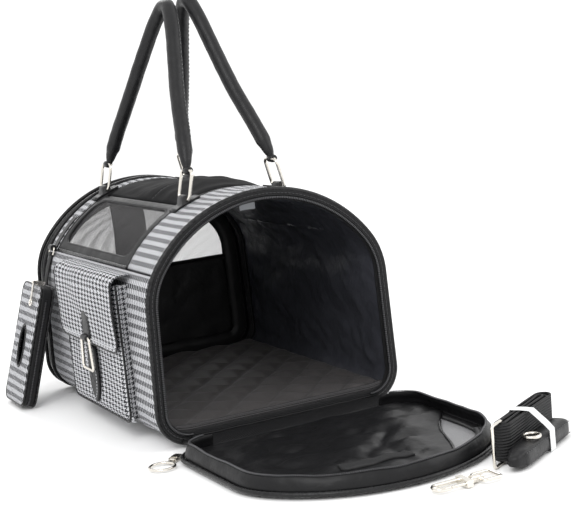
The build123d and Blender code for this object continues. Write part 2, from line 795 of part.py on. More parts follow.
def eye_part(plane):
    """The eye that a snap hook swivels in: a rectangular link with a boss."""
    with BuildLine(plane) as eye_line:
        FilletPolyline(
            (0, -2),
            (0, -eye_w / 2),
            (-eye_len, -eye_w / 2),
            (-eye_len, eye_w / 2),
            (0, eye_w / 2),
            (0, -1.6),
            radius=3,
        )
    cord_along(eye_line.wire(), link_r)
    with Locations(plane * Location((4, 0, 0))):
        Cylinder(4.2, 9, rotation=(0, 90, 0))
    with Locations(plane * Location((4, 0, 0))):
        Cylinder(2.0, 30, rotation=(0, 90, 0), mode=Mode.SUBTRACT)


front_hook_plane = Plane(origin=(42, -545, hook_z), x_dir=(-1, 0, 0), z_dir=(0, 0, 1))
rear_hook_origin = bundle.from_local_coords(Vector(66, 34.5, hook_z))
rear_hook_plane = Plane(origin=rear_hook_origin, x_dir=-bundle.x_dir, z_dir=(0, 0, 1))
with BuildPart() as strap_links:
    link_origin = bundle.from_local_coords(Vector(-58, fold_mid[1], 0))
    edge_plane = Plane(origin=link_origin, x_dir=bundle.x_dir, z_dir=-bundle.y_dir)
    with BuildLine(edge_plane) as link_line:
        FilletPolyline((0, 2), (11.5, 2), (11.5, 44.4), (-11.5, 44.4), (-11.5, 2), (-0.3, 2), radius=3)
    cord_along(link_line.wire(), link_r)
    with Locations(bundle.offset(pad_high + 0.9 + link_r) * Location((-24, -pad_depth / 2, 0))):
        Torus(8.5, link_r)
    eye_part(front_hook_plane)
    eye_part(rear_hook_plane)
write(strap_links, "strap_links")

for plane, end in ((front_hook_plane, "front"), (rear_hook_plane, "rear")):
    with BuildPart() as snap_hook:
        hook_part(plane)
    write(snap_hook, f"{end}_snap_hook")
    with BuildPart() as hook_gate:
        with Locations(plane * Location((22.5, 7.2, 0))):
            Cylinder(1.6, 25, rotation=(0, 90, 0))
    write(hook_gate, f"{end}_hook_gate")

print(len(named_parts), "nodes")
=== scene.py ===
import math

import bmesh
import bpy
from mathutils import Matrix, Vector, noise


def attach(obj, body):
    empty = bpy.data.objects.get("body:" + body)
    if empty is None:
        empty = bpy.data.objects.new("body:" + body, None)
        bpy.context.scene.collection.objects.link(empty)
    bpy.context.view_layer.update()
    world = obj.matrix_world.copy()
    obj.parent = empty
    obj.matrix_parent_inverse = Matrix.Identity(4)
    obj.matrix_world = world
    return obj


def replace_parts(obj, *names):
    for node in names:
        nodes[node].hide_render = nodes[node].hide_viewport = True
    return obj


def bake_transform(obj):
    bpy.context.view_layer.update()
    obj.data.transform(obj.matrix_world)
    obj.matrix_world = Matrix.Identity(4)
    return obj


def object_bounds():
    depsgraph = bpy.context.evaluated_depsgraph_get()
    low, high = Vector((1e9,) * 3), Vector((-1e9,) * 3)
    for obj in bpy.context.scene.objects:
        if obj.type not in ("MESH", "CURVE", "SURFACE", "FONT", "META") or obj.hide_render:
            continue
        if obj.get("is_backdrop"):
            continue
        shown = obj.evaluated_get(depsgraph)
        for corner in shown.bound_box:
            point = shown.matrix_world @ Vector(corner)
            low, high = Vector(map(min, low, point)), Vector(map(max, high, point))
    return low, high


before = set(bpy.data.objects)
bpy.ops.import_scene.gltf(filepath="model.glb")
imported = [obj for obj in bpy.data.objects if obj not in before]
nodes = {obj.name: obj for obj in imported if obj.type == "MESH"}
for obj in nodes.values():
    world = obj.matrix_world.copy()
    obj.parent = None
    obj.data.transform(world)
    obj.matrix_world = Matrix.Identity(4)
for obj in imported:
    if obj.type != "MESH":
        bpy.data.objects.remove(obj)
cad_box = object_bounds()
MM = 0.001

# ---------------------------------------------------------------- the arch, in millimetres

HALF_WIDTH, CROWN_Z, BASE_Z = 154.0, 276.0, 6.0
CORNER_R, SHOULDER_R, SHOULDER_Z = 37.0, 84.0, 160.0
FRONT_Y, REAR_Y, FRONT_BAND_Y, REAR_BAND_Y = -211.0, 186.0, -121.0, 150.0
WINDOW_Z, WINDOW_X, FRAME_W = 200.0, 62.0, 12.0
FRONT_DOOR_Y, FRONT_DOOR_LOW, REAR_DOOR_Y = -235.6, 3.2, REAR_Y + 24.8
FRONT_GUSSET, REAR_GUSSET = 18.0, 24.0   # depths; the open front one lies slumped
HINGE_HALF = 130.0
LEAN = math.radians(1.5)
CORNER_X, CORNER_Z = HALF_WIDTH - CORNER_R, BASE_Z + CORNER_R
LOW_X, LOW_Z = CORNER_X + CORNER_R * math.cos(LEAN), CORNER_Z + CORNER_R * math.sin(LEAN)
HIGH_X = LOW_X - (SHOULDER_Z - LOW_Z) * math.tan(LEAN)
SHOULDER_CX = HIGH_X - SHOULDER_R * math.cos(LEAN)
SHOULDER_CZ = SHOULDER_Z - SHOULDER_R * math.sin(LEAN)
DROP = SHOULDER_CZ - CROWN_Z
CROWN_R = (SHOULDER_R**2 - SHOULDER_CX**2 - DROP**2) / (2 * (DROP + SHOULDER_R))
CROWN_CZ = CROWN_Z - CROWN_R
JOIN = math.atan2(SHOULDER_CZ - CROWN_CZ, SHOULDER_CX)
CROWN_LEN = CROWN_R * (math.pi / 2 - JOIN)
SHOULDER_LEN = SHOULDER_R * (JOIN - LEAN)
SIDE_LEN = math.hypot(LOW_X - HIGH_X, SHOULDER_Z - LOW_Z)
CORNER_LEN = CORNER_R * (math.pi / 2 + LEAN)
S_SHOULDER = CROWN_LEN
S_SIDE = S_SHOULDER + SHOULDER_LEN
S_CORNER = S_SIDE + SIDE_LEN
S_BASE = S_CORNER + CORNER_LEN
S_END = S_BASE + CORNER_X


def on_arch(s, out=0.0):
    """The arch's point at arc length s from the crown (right is positive), moved outwards."""
    side, a = (1 if s >= 0 else -1), abs(s)
    if a <= S_SHOULDER:
        t = math.pi / 2 - a / CROWN_R
        x, z, nx, nz = CROWN_R * math.cos(t), CROWN_CZ + CROWN_R * math.sin(t), math.cos(t), math.sin(t)
    elif a <= S_SIDE:
        t = JOIN - (a - S_SHOULDER) / SHOULDER_R
        nx, nz = math.cos(t), math.sin(t)
        x, z = SHOULDER_CX + SHOULDER_R * nx, SHOULDER_CZ + SHOULDER_R * nz
    elif a <= S_CORNER:
        f = (a - S_SIDE) / SIDE_LEN
        nx, nz = math.cos(LEAN), math.sin(LEAN)
        x, z = HIGH_X + (LOW_X - HIGH_X) * f, SHOULDER_Z + (LOW_Z - SHOULDER_Z) * f
    elif a <= S_BASE:
        t = LEAN - (a - S_CORNER) / CORNER_R
        nx, nz = math.cos(t), math.sin(t)
        x, z = CORNER_X + CORNER_R * nx, CORNER_Z + CORNER_R * nz
    else:
        x, z, nx, nz = CORNER_X - (a - S_BASE), BASE_Z, 0.0, -1.0
    return side * (x + nx * out), z + nz * out


def s_where(test):
    """The first arc length, from the crown down, where a test of (x, z) holds."""
    s = 0.0
    while s < S_END and not test(*on_arch(s)):
        s += 0.25
    return s


S_WINDOW = s_where(lambda x, z: z <= WINDOW_Z)
S_TOP = s_where(lambda x, z: x >= WINDOW_X)


def bag(x, z, d):
    return (x, d, z)


def front_door(x, z, h):
    """The open front door lies flat: z runs away from the bag and h stands up from the panel."""
    return (x, FRONT_DOOR_Y - z, FRONT_DOOR_LOW + h)


def rear_door(x, z, h):
    """The closed rear door stands: h runs in towards the bag."""
    return (x, REAR_DOOR_Y - h, z)


# ---------------------------------------------------------------- materials


class Look:
    """A node material under construction."""

    def __init__(self, name, color, rough, **sockets):
        self.mat = bpy.data.materials.new(name)
        self.mat.use_nodes = True
        self.tree = self.mat.node_tree
        self.shader = self.tree.nodes["Principled BSDF"]
        self.set("Base Color", (*color, 1))
        self.set("Roughness", rough)
        for key, value in sockets.items():
            self.set(key.replace("_", " "), value)

    def set(self, socket, value):
        self.shader.inputs[socket].default_value = value

    def add(self, kind, **values):
        node = self.tree.nodes.new(kind)
        for key, value in values.items():
            if key in node.inputs:
                node.inputs[key].default_value = value
            else:
                setattr(node, key, value)
        return node

    def link(self, a, b):
        self.tree.links.new(a, b)

    def math(self, operation, a, b=None):
        node = self.add("ShaderNodeMath", operation=operation)
        for i, value in enumerate((a, b)):
            if value is None:
                continue
            if isinstance(value, (int, float)):
                node.inputs[i].default_value = value
            else:
                self.link(value, node.inputs[i])
        return node.outputs[0]

    def place(self):
        return self.add("ShaderNodeTexCoord").outputs["Object"]

    def weave(self):
        node = self.add("ShaderNodeAttribute", attribute_type="GEOMETRY", attribute_name="weave")
        split = self.add("ShaderNodeSeparateXYZ")
        self.link(node.outputs["Vector"], split.inputs[0])
        return split.outputs[0], split.outputs[1]

    def noise(self, scale, detail=3.0, where=None):
        node = self.add("ShaderNodeTexNoise", Scale=scale, Detail=detail)
        self.link(where or self.place(), node.inputs["Vector"])
        return node.outputs["Fac"]

    def cells(self, scale):
        node = self.add("ShaderNodeTexVoronoi", Scale=scale)
        self.link(self.place(), node.inputs["Vector"])
        return node.outputs["Distance"]

    def bump(self, *layers):
        """Stack bumps: (height, strength, distance in metres)."""
        last = None
        for height, strength, distance in layers:
            node = self.add("ShaderNodeBump", Strength=strength, Distance=distance)
            self.link(height, node.inputs["Height"])
            if last:
                self.link(last, node.inputs["Normal"])
            last = node.outputs[0]
        self.link(last, self.shader.inputs["Normal"])

    def shades(self, fac, dark, light, socket="Base Color"):
        node = self.add("ShaderNodeMix", data_type="RGBA")
        self.link(fac, node.inputs["Factor"])
        node.inputs[6].default_value = (*dark, 1)
        node.inputs[7].default_value = (*light, 1)
        if socket:
            self.link(node.outputs[2], self.shader.inputs[socket])
        return node.outputs[2]

    def vary_rough(self, fac, low, high):
        node = self.add("ShaderNodeMapRange")
        node.inputs["To Min"].default_value = low
        node.inputs["To Max"].default_value = high
        self.link(fac, node.inputs["Value"])
        self.link(node.outputs[0], self.shader.inputs["Roughness"])


def woven(look, pitch):
    """A fine over-and-under thread height from the weave coordinates, in millimetres."""
    u, v = look.weave()
    k = 2 * math.pi / pitch
    a = look.math("SINE", look.math("MULTIPLY", u, k))
    b = look.math("SINE", look.math("MULTIPLY", v, k))
    return look.math("MULTIPLY", a, b)


def houndstooth(name, pitch_u, pitch_v, dark=1.0):
    """Four-and-four colour order on a two-and-two twill, with its repeat given each way. A dark below 1 paints
    shade on a copy of the cloth by darkening its pale threads.
    """
    look = Look(name, (0.4, 0.4, 0.4), 0.78, Specular_IOR_Level=0.3)
    u, v = look.weave()
    warp = look.math("FLOOR", look.math("DIVIDE", u, pitch_u / 8))
    weft = look.math("FLOOR", look.math("DIVIDE", v, pitch_v / 8))
    warp_white = look.math("LESS_THAN", look.math("FLOORED_MODULO", warp, 8.0), 3.5)
    weft_white = look.math("LESS_THAN", look.math("FLOORED_MODULO", weft, 8.0), 3.5)
    twill = look.math("FLOORED_MODULO", look.math("ADD", warp, weft), 4.0)
    show = look.math("LESS_THAN", twill, 1.5)
    white = look.math("ADD", look.math("MULTIPLY", show, warp_white),
                      look.math("MULTIPLY", look.math("SUBTRACT", 1.0, show), weft_white))
    # dark scales the pale threads down: below 1 it is painted shade, not a different cloth
    dull, bright = (tuple(c * dark for c in tone) for tone in ((0.50, 0.505, 0.53), (0.61, 0.615, 0.635)))
    light = look.shades(look.noise(18.0), dull, bright, socket=None)
    mix = look.add("ShaderNodeMix", data_type="RGBA")
    look.link(white, mix.inputs["Factor"])
    mix.inputs[6].default_value = (0.012, 0.012, 0.015, 1)
    look.link(light, mix.inputs[7])
    look.link(mix.outputs[2], look.shader.inputs["Base Color"])
    look.bump((look.noise(60.0), 0.35, 0.002), (woven(look, 1.68), 0.35, 0.0004))
    return look.mat


def nylon(name, color, rough, wrinkle, sheen=0.0, shine=0.22):
    look = Look(name, color, rough, Sheen_Weight=sheen, Sheen_Roughness=0.4, Specular_IOR_Level=shine)
    lighter = tuple(c * 1.6 + 0.002 for c in color)
    look.shades(look.noise(45.0), color, lighter)
    look.vary_rough(look.noise(25.0), rough - 0.07, rough + 0.1)
    folds = look.noise(28.0, 4.0)
    look.bump((folds, wrinkle, 0.006), (look.noise(2200.0, 1.0), 0.18, 0.0003))
    return look.mat


def leather(name, color, rough):
    look = Look(name, color, rough, Specular_IOR_Level=0.26)
    look.shades(look.noise(120.0), color, tuple(c * 2.0 + 0.006 for c in color))
    look.vary_rough(look.noise(300.0), rough - 0.08, rough + 0.1)
    look.bump((look.noise(75.0), 0.3, 0.002), (look.cells(900.0), 0.35, 0.0004))
    return look.mat


def metal(name, color, rough):
    look = Look(name, color, rough, Metallic=1.0)
    look.shades(look.noise(60.0), tuple(c * 0.9 for c in color), color)
    look.vary_rough(look.noise(400.0), rough - 0.04, rough + 0.08)
    look.bump((look.noise(900.0), 0.05, 0.0002))
    return look.mat


def netting(name, color, hole, pitch):
    """Knitted mesh: round see-through holes in staggered rows."""
    look = Look(name, color, 0.6)
    u, v = look.weave()
    a = look.math("DIVIDE", u, pitch)
    row = look.math("FLOOR", a)
    shift = look.math("MULTIPLY", look.math("FLOORED_MODULO", row, 2.0), 0.5)
    b = look.math("ADD", look.math("DIVIDE", v, pitch), shift)
    du = look.math("SUBTRACT", look.math("FRACT", a), 0.5)
    dv = look.math("SUBTRACT", look.math("FRACT", b), 0.5)
    r2 = look.math("ADD", look.math("MULTIPLY", du, du), look.math("MULTIPLY", dv, dv))
    look.link(look.math("GREATER_THAN", r2, hole * hole), look.shader.inputs["Alpha"])
    look.bump((r2, 0.4, 0.0005))
    look.mat.blend_method = "HASHED"
    return look.mat


def ribbed(name, color, pitch):
    look = Look(name, color, 0.55, Specular_IOR_Level=0.25)
    u, v = look.weave()
    rib = look.math("SINE", look.math("MULTIPLY", u, 2 * math.pi / pitch))
    along = look.math("SINE", look.math("MULTIPLY", v, 2 * math.pi / 1.4))
    # Painted shade and highlight: the colour follows the ribs, lighter on their crests and darker in the
    # grooves between them
    look.shades(look.math("MULTIPLY", look.math("ADD", rib, 1.0), 0.5), color, tuple(c * 2.4 for c in color))
    look.bump((rib, 0.8, 0.0006), (along, 0.35, 0.0003))
    return look.mat


def plain(name, color, rough, grain, strength):
    look = Look(name, color, rough)
    look.shades(look.noise(grain / 8), tuple(c * 0.82 for c in color), color)
    look.vary_rough(look.noise(grain / 4), rough - 0.06, rough + 0.08)
    look.bump((look.noise(grain), strength, 0.0004))
    return look.mat


TOOTH = houndstooth("houndstooth_cloth", 5.5, 11.0)
PANEL_TOOTH = houndstooth("houndstooth_panel_cloth", 11.0, 5.5)
# The gusset's houndstooth is a shaded copy: its pale threads are darkened to 0.6 as painted shade on the
# pocket's side wall
PAINTED_SHADE_TOOTH = houndstooth("houndstooth_gusset_painted_shade", 5.5, 5.5, 0.6)
NYLON = nylon("black_nylon_cloth", (0.006, 0.006, 0.0065), 0.46, 0.25)
CROWN_NYLON = nylon("crown_nylon_cloth", (0.004, 0.004, 0.0045), 0.72, 0.2, 0.0, 0.08)
DOOR_NYLON = nylon("thin_black_nylon", (0.005, 0.005, 0.0055), 0.4, 0.5)
LINING = nylon("lining_nylon_cloth", (0.027, 0.028, 0.034), 0.34, 0.5)
LEATHER = leather("black_leatherette", (0.005, 0.005, 0.0055), 0.36)
PIPING = leather("piping_leatherette", (0.006, 0.006, 0.0065), 0.26)
PAD = nylon("quilted_cloth", (0.042, 0.039, 0.039), 0.5, 0.15, 0.06, 0.35)
CHROME = metal("polished_chrome", (0.80, 0.765, 0.70), 0.16)
GUNMETAL = metal("zip_teeth_metal", (0.10, 0.10, 0.105), 0.36)
MESH = netting("side_netting", (0.02, 0.018, 0.02), 0.46, 1.5)
# The door netting's light grey colour is painted sheen: it stands for the light the mesh reflects, while the
# other netting stays near black
PAINTED_SHEEN_DOOR_MESH = netting("door_netting_painted_sheen", (0.30, 0.30, 0.31), 0.40, 1.7)
DARK_MESH = netting("pocket_netting", (0.02, 0.02, 0.022), 0.25, 2.2)
WEBBING = ribbed("black_webbing", (0.008, 0.008, 0.0085), 3.0)
PAPER = plain("matt_paper", (0.88, 0.885, 0.89), 0.6, 900.0, 0.1)
BOARD = plain("stiff_board", (0.30, 0.24, 0.17), 0.8, 700.0, 0.3)
RUBBER = plain("black_rubber", (0.014, 0.014, 0.015), 0.6, 1500.0, 0.3)
VELCRO = plain("hook_tape", (0.012, 0.012, 0.013), 0.9, 1800.0, 1.0)
LABEL = plain("woven_label", (0.30, 0.31, 0.33), 0.7, 1600.0, 0.4)
THREAD = plain("sewing_thread", (0.05, 0.05, 0.053), 0.55, 3000.0, 0.4)
WHITE_THREAD = plain("pale_thread", (0.62, 0.63, 0.65), 0.6, 3000.0, 0.4)
BINDING = ribbed("grosgrain_binding", (0.006, 0.006, 0.0065), 1.6)
PAD_BINDING = ribbed("pad_binding", (0.028, 0.027, 0.028), 1.6)

# ---------------------------------------------------------------- mesh making


def piece(name, verts, faces, mat, body, weave=None):
    """A mesh object from millimetre points, riding on a body."""
    mesh = bpy.data.meshes.new(name)
    mesh.from_pydata([tuple(c * MM for c in v) for v in verts], [], faces)
    if weave:
        layer = mesh.attributes.new("weave", "FLOAT_VECTOR", "POINT")
        for i, (u, v) in enumerate(weave):
            layer.data[i].vector = (u, v, 0)
    work = bmesh.new()
    work.from_mesh(mesh)
    bmesh.ops.recalc_face_normals(work, faces=work.faces)
    work.to_mesh(mesh)
    work.free()
    obj = bpy.data.objects.new(name, mesh)
    bpy.context.scene.collection.objects.link(obj)
    mesh.materials.append(mat)
    mesh.shade_smooth()
    if body:
        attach(obj, body)
    return obj


def steps(a, b, size, extra=()):
    """Even steps from a to b, with extra values kept exactly."""
    n = max(1, round(abs(b - a) / size))
    values = [a + (b - a) * i / n for i in range(n + 1)]
    for e in extra:
        k = min(range(1, n), key=lambda i: abs(values[i] - e))
        values[k] = e
    return values


def slab(name, us, vs, outer, inner, mat, body, skip=None):
    """A closed sheet: outer(u, v) and inner(u, v) give its two faces."""
    nu, nv = len(us), len(vs)
    kept = {(i, j) for i in range(nu - 1) for j in range(nv - 1)
            if not (skip and skip((us[i] + us[i + 1]) / 2, (vs[j] + vs[j + 1]) / 2))}
    index, verts, weave, faces = {}, [], [], []

    def at(i, j, face):
        key = (i, j, face)
        if key not in index:
            index[key] = len(verts)
            verts.append((outer, inner)[face](us[i], vs[j]))
            weave.append((us[i], vs[j]))
        return index[key]

    for i, j in sorted(kept):
        ring = ((i, j), (i + 1, j), (i + 1, j + 1), (i, j + 1))
        faces.append([at(a, b, 0) for a, b in ring])
        faces.append([at(a, b, 1) for a, b in reversed(ring)])
        beside = ((i, j - 1), (i + 1, j), (i, j + 1), (i - 1, j))
        for k, cell in enumerate(beside):
            if cell not in kept:
                p, q = ring[k], ring[(k + 1) % 4]
                faces.append([at(*q, 0), at(*p, 0), at(*p, 1), at(*q, 1)])
    return piece(name, verts, faces, mat, body, weave)


def loft(name, rings, mat, body, loop=False, weave=None):
    """Join rings of points; loop closes the first ring to the last."""
    n, m = len(rings), len(rings[0])
    verts = [p for ring in rings for p in ring]
    faces = []
    for i in range(n if loop else n - 1):
        for j in range(m):
            a, b = i * m, ((i + 1) % n) * m
            k = (j + 1) % m
            faces.append([a + j, a + k, b + k, b + j])
    if not loop:
        faces += [list(range(m)), list(range((n - 1) * m, n * m))[::-1]]
    if weave is None:
        weave = [(j * 2.0, i * 2.0) for i in range(n) for j in range(m)]
    return piece(name, verts, faces, mat, body, weave)


def arch_sweep(name, profile, place, mat, body, low=-S_END, high=S_END, wave=None):
    """A profile of (outwards, depth) points carried round the arch."""
    whole = low == -S_END and high == S_END
    ss = steps(low, high, 4.0)
    ss = ss[:-1] if whole else ss
    rings, weave = [], []
    for s in ss:
        ring = []
        for k, (out, d) in enumerate(profile):
            extra = wave(s, k, out, d) if wave else (0.0, 0.0)
            x, z = on_arch(s, out + extra[0])
            ring.append(place(x, z, d + extra[1]))
            weave.append((k * 2.5, s))
        rings.append(ring)
    return loft(name, rings, mat, body, loop=whole, weave=weave)


def frames_along(points):
    """Tangent, side and up for each point of a polyline."""
    up = Vector((0, 0, 1))
    out = []
    for i, p in enumerate(points):
        t = (points[min(i + 1, len(points) - 1)] - points[max(i - 1, 0)]).normalized()
        side = t.cross(up)
        if side.length < 1e-3:
            side = Vector((1, 0, 0))
        side.normalize()
        up = side.cross(t).normalized()
        out.append((p, t, side, up))
    return out


def smooth_line(points, size, closed=False):
    """A Catmull-Rom line through points, in even small steps."""
    pts = [Vector(p) for p in points]
    n = len(pts)
    line = []
    for i in range(n if closed else n - 1):
        if closed:
            p0, p1, p2, p3 = pts[i - 1], pts[i], pts[(i + 1) % n], pts[(i + 2) % n]
        else:
            p0, p1, p2, p3 = pts[max(i - 1, 0)], pts[i], pts[i + 1], pts[min(i + 2, n - 1)]
        count = max(1, round((p2 - p1).length / size))
        for k in range(count):
            t = k / count
            line.append(0.5 * ((2 * p1) + (p2 - p0) * t + (2 * p0 - 5 * p1 + 4 * p2 - p3) * t * t
                               + (3 * p1 - p0 - 3 * p2 + p3) * t**3))
    if not closed:
        line.append(pts[-1])
    return line


def rod(name, points, radius, mat, body, sides=10, closed=False, shape=None):
    """A round piece along points; shape(k, angle) scales the radius."""
    rings = []
    for k, (p, t, side, up) in enumerate(frames_along(points)):
        ring = []
        for j in range(sides):
            a = 2 * math.pi * j / sides
            r = radius * (shape(k, a) if shape else 1.0)
            ring.append(tuple(p + side * (math.cos(a) * r) + up * (math.sin(a) * r)))
        rings.append(ring)
    return loft(name, rings, mat, body, loop=closed)


def bits(name, places, size, mat, body):
    """Many small blocks as one mesh; each place is (point, along, across, up)."""
    verts, faces = [], []
    corners = ((-1, -1, -1), (1, -1, -1), (1, 1, -1), (-1, 1, -1),
               (-0.8, -0.6, 1), (0.8, -0.6, 1), (0.8, 0.6, 1), (-0.8, 0.6, 1))
    quads = ((0, 3, 2, 1), (4, 5, 6, 7), (0, 1, 5, 4), (1, 2, 6, 5), (2, 3, 7, 6), (3, 0, 4, 7))
    for p, along, across, up in places:
        base = len(verts)
        for a, b, c in corners:
            q = p + along * (a * size[0] / 2) + across * (b * size[1] / 2) + up * (c * size[2] / 2)
            verts.append(tuple(q))
        faces += [[base + i for i in quad] for quad in quads]
    return piece(name, verts, faces, mat, body)


def resample(points, spacing):
    """Points at an even spacing along a polyline, with the direction at each."""
    out, carry = [], 0.0
    for a, b in zip(points, points[1:]):
        step = (b - a).length
        if step < 1e-6:
            continue
        direction = (b - a) / step
        while carry < step:
            out.append((a + direction * carry, direction))
            carry += spacing
        carry -= step
    return out


def stitches(name, points, normal, body, mat=None, length=3.2, gap=1.6):
    """A run of thread stitches lying on a surface along points."""
    n = Vector(normal).normalized()
    places = []
    for p, t in resample([Vector(q) for q in points], length + gap):
        places.append((p, t, n.cross(t).normalized(), n))
    return bits(name, places, (length, 0.7, 0.6), mat or THREAD, body)


def teeth(name, place, out, depth, body, low, high):
    """Zip teeth round the arch."""
    ss = steps(low, high, 2.3)
    places = []
    for s in ss:
        p = Vector(place(*on_arch(s, out), depth))
        q = Vector(place(*on_arch(s + 0.5, out), depth))
        o = Vector(place(*on_arch(s, out + 1), depth))
        t = (q - p).normalized()
        n = (o - p).normalized()
        places.append((p, t, n, t.cross(n).normalized()))
    return bits(name, places, (1.3, 3.4, 1.5), GUNMETAL, body)


def tube_slab(name, ss, ys, outer, inner, mat, sign=1, skip=None):
    """A closed sheet on the tunnel: outer(s, y) and inner(s, y) say how far out its faces are."""
    def face(height):
        return lambda s, y: bag(*on_arch(sign * s, height(s, y)), y)
    return slab(name, ss, ys, face(outer), face(inner), mat, "bag", skip)


def wrinkle(x, y, z, scale, amount):
    return amount * noise.noise(Vector((x / scale, y / scale, z / scale)))


def edge_fade(u, us, size):
    """0 at both ends of a range, rising to 1 over size."""
    d = min(abs(u - us[0]), abs(u - us[-1]))
    return min(1.0, d / size) ** 0.5


# ---------------------------------------------------------------- camera and studio

CAMERA_SPOT = (-0.6693, -1.6454, 0.4292)
YAW, PITCH, ROLL = math.radians(26.0), math.radians(8.25), math.radians(-5.82)
forward = Vector((math.sin(YAW) * math.cos(PITCH), math.cos(YAW) * math.cos(PITCH), -math.sin(PITCH)))
level = Vector((math.cos(YAW), -math.sin(YAW), 0))
above = level.cross(forward)
right = level * math.cos(ROLL) + above * math.sin(ROLL)
top = above * math.cos(ROLL) - level * math.sin(ROLL)
cam_data = bpy.data.cameras.new("camera")
cam_data.lens = 85.86
cam_data.sensor_width = 36.0
cam = bpy.data.objects.new("camera", cam_data)
bpy.context.scene.collection.objects.link(cam)
turn = Matrix((right, top, -forward)).transposed().to_4x4()
cam.matrix_world = Matrix.Translation(CAMERA_SPOT) @ turn
bpy.context.scene.camera = cam

world = bpy.data.worlds.new("studio")
world.use_nodes = True
world.node_tree.nodes["Background"].inputs[0].default_value = (1, 1, 1, 1)
world.node_tree.nodes["Background"].inputs[1].default_value = 1.15
bpy.context.scene.view_settings.view_transform = "Standard"
bpy.context.scene.world = world


def area_light(name, spot, target, size, power):
    data = bpy.data.lights.new(name, "AREA")
    data.size = size
    data.energy = power
    obj = bpy.data.objects.new(name, data)
    bpy.context.scene.collection.objects.link(obj)
    obj.location = spot
    obj.rotation_euler = (Vector(target) - Vector(spot)).to_track_quat("-Z", "Y").to_euler()


area_light("key", (-1.6, -1.8, 2.2), (0, 0, 0.1), 1.4, 34)
area_light("fill", (2.0, -1.4, 1.5), (0, -0.1, 0.1), 1.6, 18)
area_light("rim", (0.4, 2.0, 1.8), (0, 0, 0.2), 1.2, 18)

floor_mesh = bpy.data.meshes.new("floor")
floor_mesh.from_pydata([(-90, -90, 0), (90, -90, 0), (90, 90, 0), (-90, 90, 0)], [], [(0, 1, 2, 3)])
floor = bpy.data.objects.new("floor", floor_mesh)
bpy.context.scene.collection.objects.link(floor)
floor_mesh.materials.append(Look("pale_floor", (0.95, 0.95, 0.95), 0.9, Specular_IOR_Level=0.0).mat)
floor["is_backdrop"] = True

# ---------------------------------------------------------------- body panels

side_s = steps(S_WINDOW + 2.0, S_BASE, 6.0)
tube_y = steps(FRONT_Y + 7, REAR_Y - 7, 6.0)


def puffed(s, y, us, vs, amount, seed):
    """How far padded fabric stands out between its seams."""
    fade = edge_fade(s, us, 14) * edge_fade(y, vs, 14)
    return amount * fade + wrinkle(s, y, seed, 45.0, 1.3) * fade


for sign, side in ((-1, "left"), (1, "right")):
    panel = tube_slab(f"{side}_side_cloth", side_s, tube_y,
                      lambda s, y: puffed(s, y, side_s, tube_y, 1.4, 7 * sign), lambda s, y: -3.8,
                      PANEL_TOOTH, sign)
    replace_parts(panel, f"{side}_side_panel")

band_s = steps(-S_WINDOW, S_WINDOW, 5.0)
for name, y0, y1 in (("front_band", FRONT_Y + 7, FRONT_BAND_Y), ("rear_band", REAR_BAND_Y, REAR_Y - 7)):
    ys = steps(y0, y1, 5.0)
    band = tube_slab(f"{name}_cloth", band_s, ys, lambda s, y: puffed(s, y, band_s, ys, 1.6, 3.0),
                     lambda s, y: -3.8, PANEL_TOOTH)
    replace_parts(band, name)

field_y0, field_y1 = FRONT_BAND_Y + 5.2, REAR_BAND_Y - 5.2
crown_s = steps(-S_TOP, S_TOP, 4.0)
crown_y = steps(field_y0 - 2, field_y1 + 2, 4.0)


def crown_rise(s, y):
    """The nylon crown stands up in its front half, with a sewn flap edge across it."""
    t = (y - field_y0) / (field_y1 - field_y0)
    t = min(max(t, 0.0), 1.0)
    hump = math.sin(math.pi * min(t / 0.62, 1.0)) ** 0.7 if t < 0.62 else 0.0
    across = max(0.0, math.cos(math.pi * s / (2.15 * S_TOP))) ** 0.6
    fade = edge_fade(s, crown_s, 16) * edge_fade(y, crown_y, 10)
    seam_line = -math.exp(-(((y + 22 + 0.12 * s) / 3.0) ** 2)) * 2.4
    return (9.0 * hump * across + wrinkle(s, y, 2.0, 26.0, 2.6) + 1.0 + seam_line) * fade


crown = tube_slab("crown_cloth", crown_s, crown_y, lambda s, y: -0.3 + crown_rise(s, y),
                  lambda s, y: -2.7 + crown_rise(s, y) * 0.8, CROWN_NYLON)
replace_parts(crown, "top_panel")
seam_pts = []
for s in steps(-S_TOP + 4, S_TOP - 4, 3.0):
    y = -22 - 0.12 * s - 3.0
    seam_pts.append(bag(*on_arch(s, 0.2 + crown_rise(s, y)), y))
stitches("crown_stitching", seam_pts, (0, 0, 1), "bag")


def rounded_loop(u0, u1, v0, v1, r, n):
    """Points of a rounded rectangle, evenly turned, starting at one corner."""
    r = max(r, 0.01)
    loop = []
    corners = ((u1 - r, v1 - r, 0), (u0 + r, v1 - r, 90), (u0 + r, v0 + r, 180), (u1 - r, v0 + r, 270))
    for cu, cv, start in corners:
        for k in range(n):
            a = math.radians(start + 90 * k / (n - 1))
            loop.append((cu + r * math.cos(a), cv + r * math.sin(a)))
    return loop


def mixed(a, b, f):
    """The point a share f of the way from a to b."""
    return a[0] + (b[0] - a[0]) * f, a[1] + (b[1] - a[1]) * f


def densify(loop, size):
    out = []
    for a, b in zip(loop, loop[1:] + loop[:1]):
        n = max(1, round(math.dist(a, b) / size))
        out += [mixed(a, b, k / n) for k in range(n)]
    return out


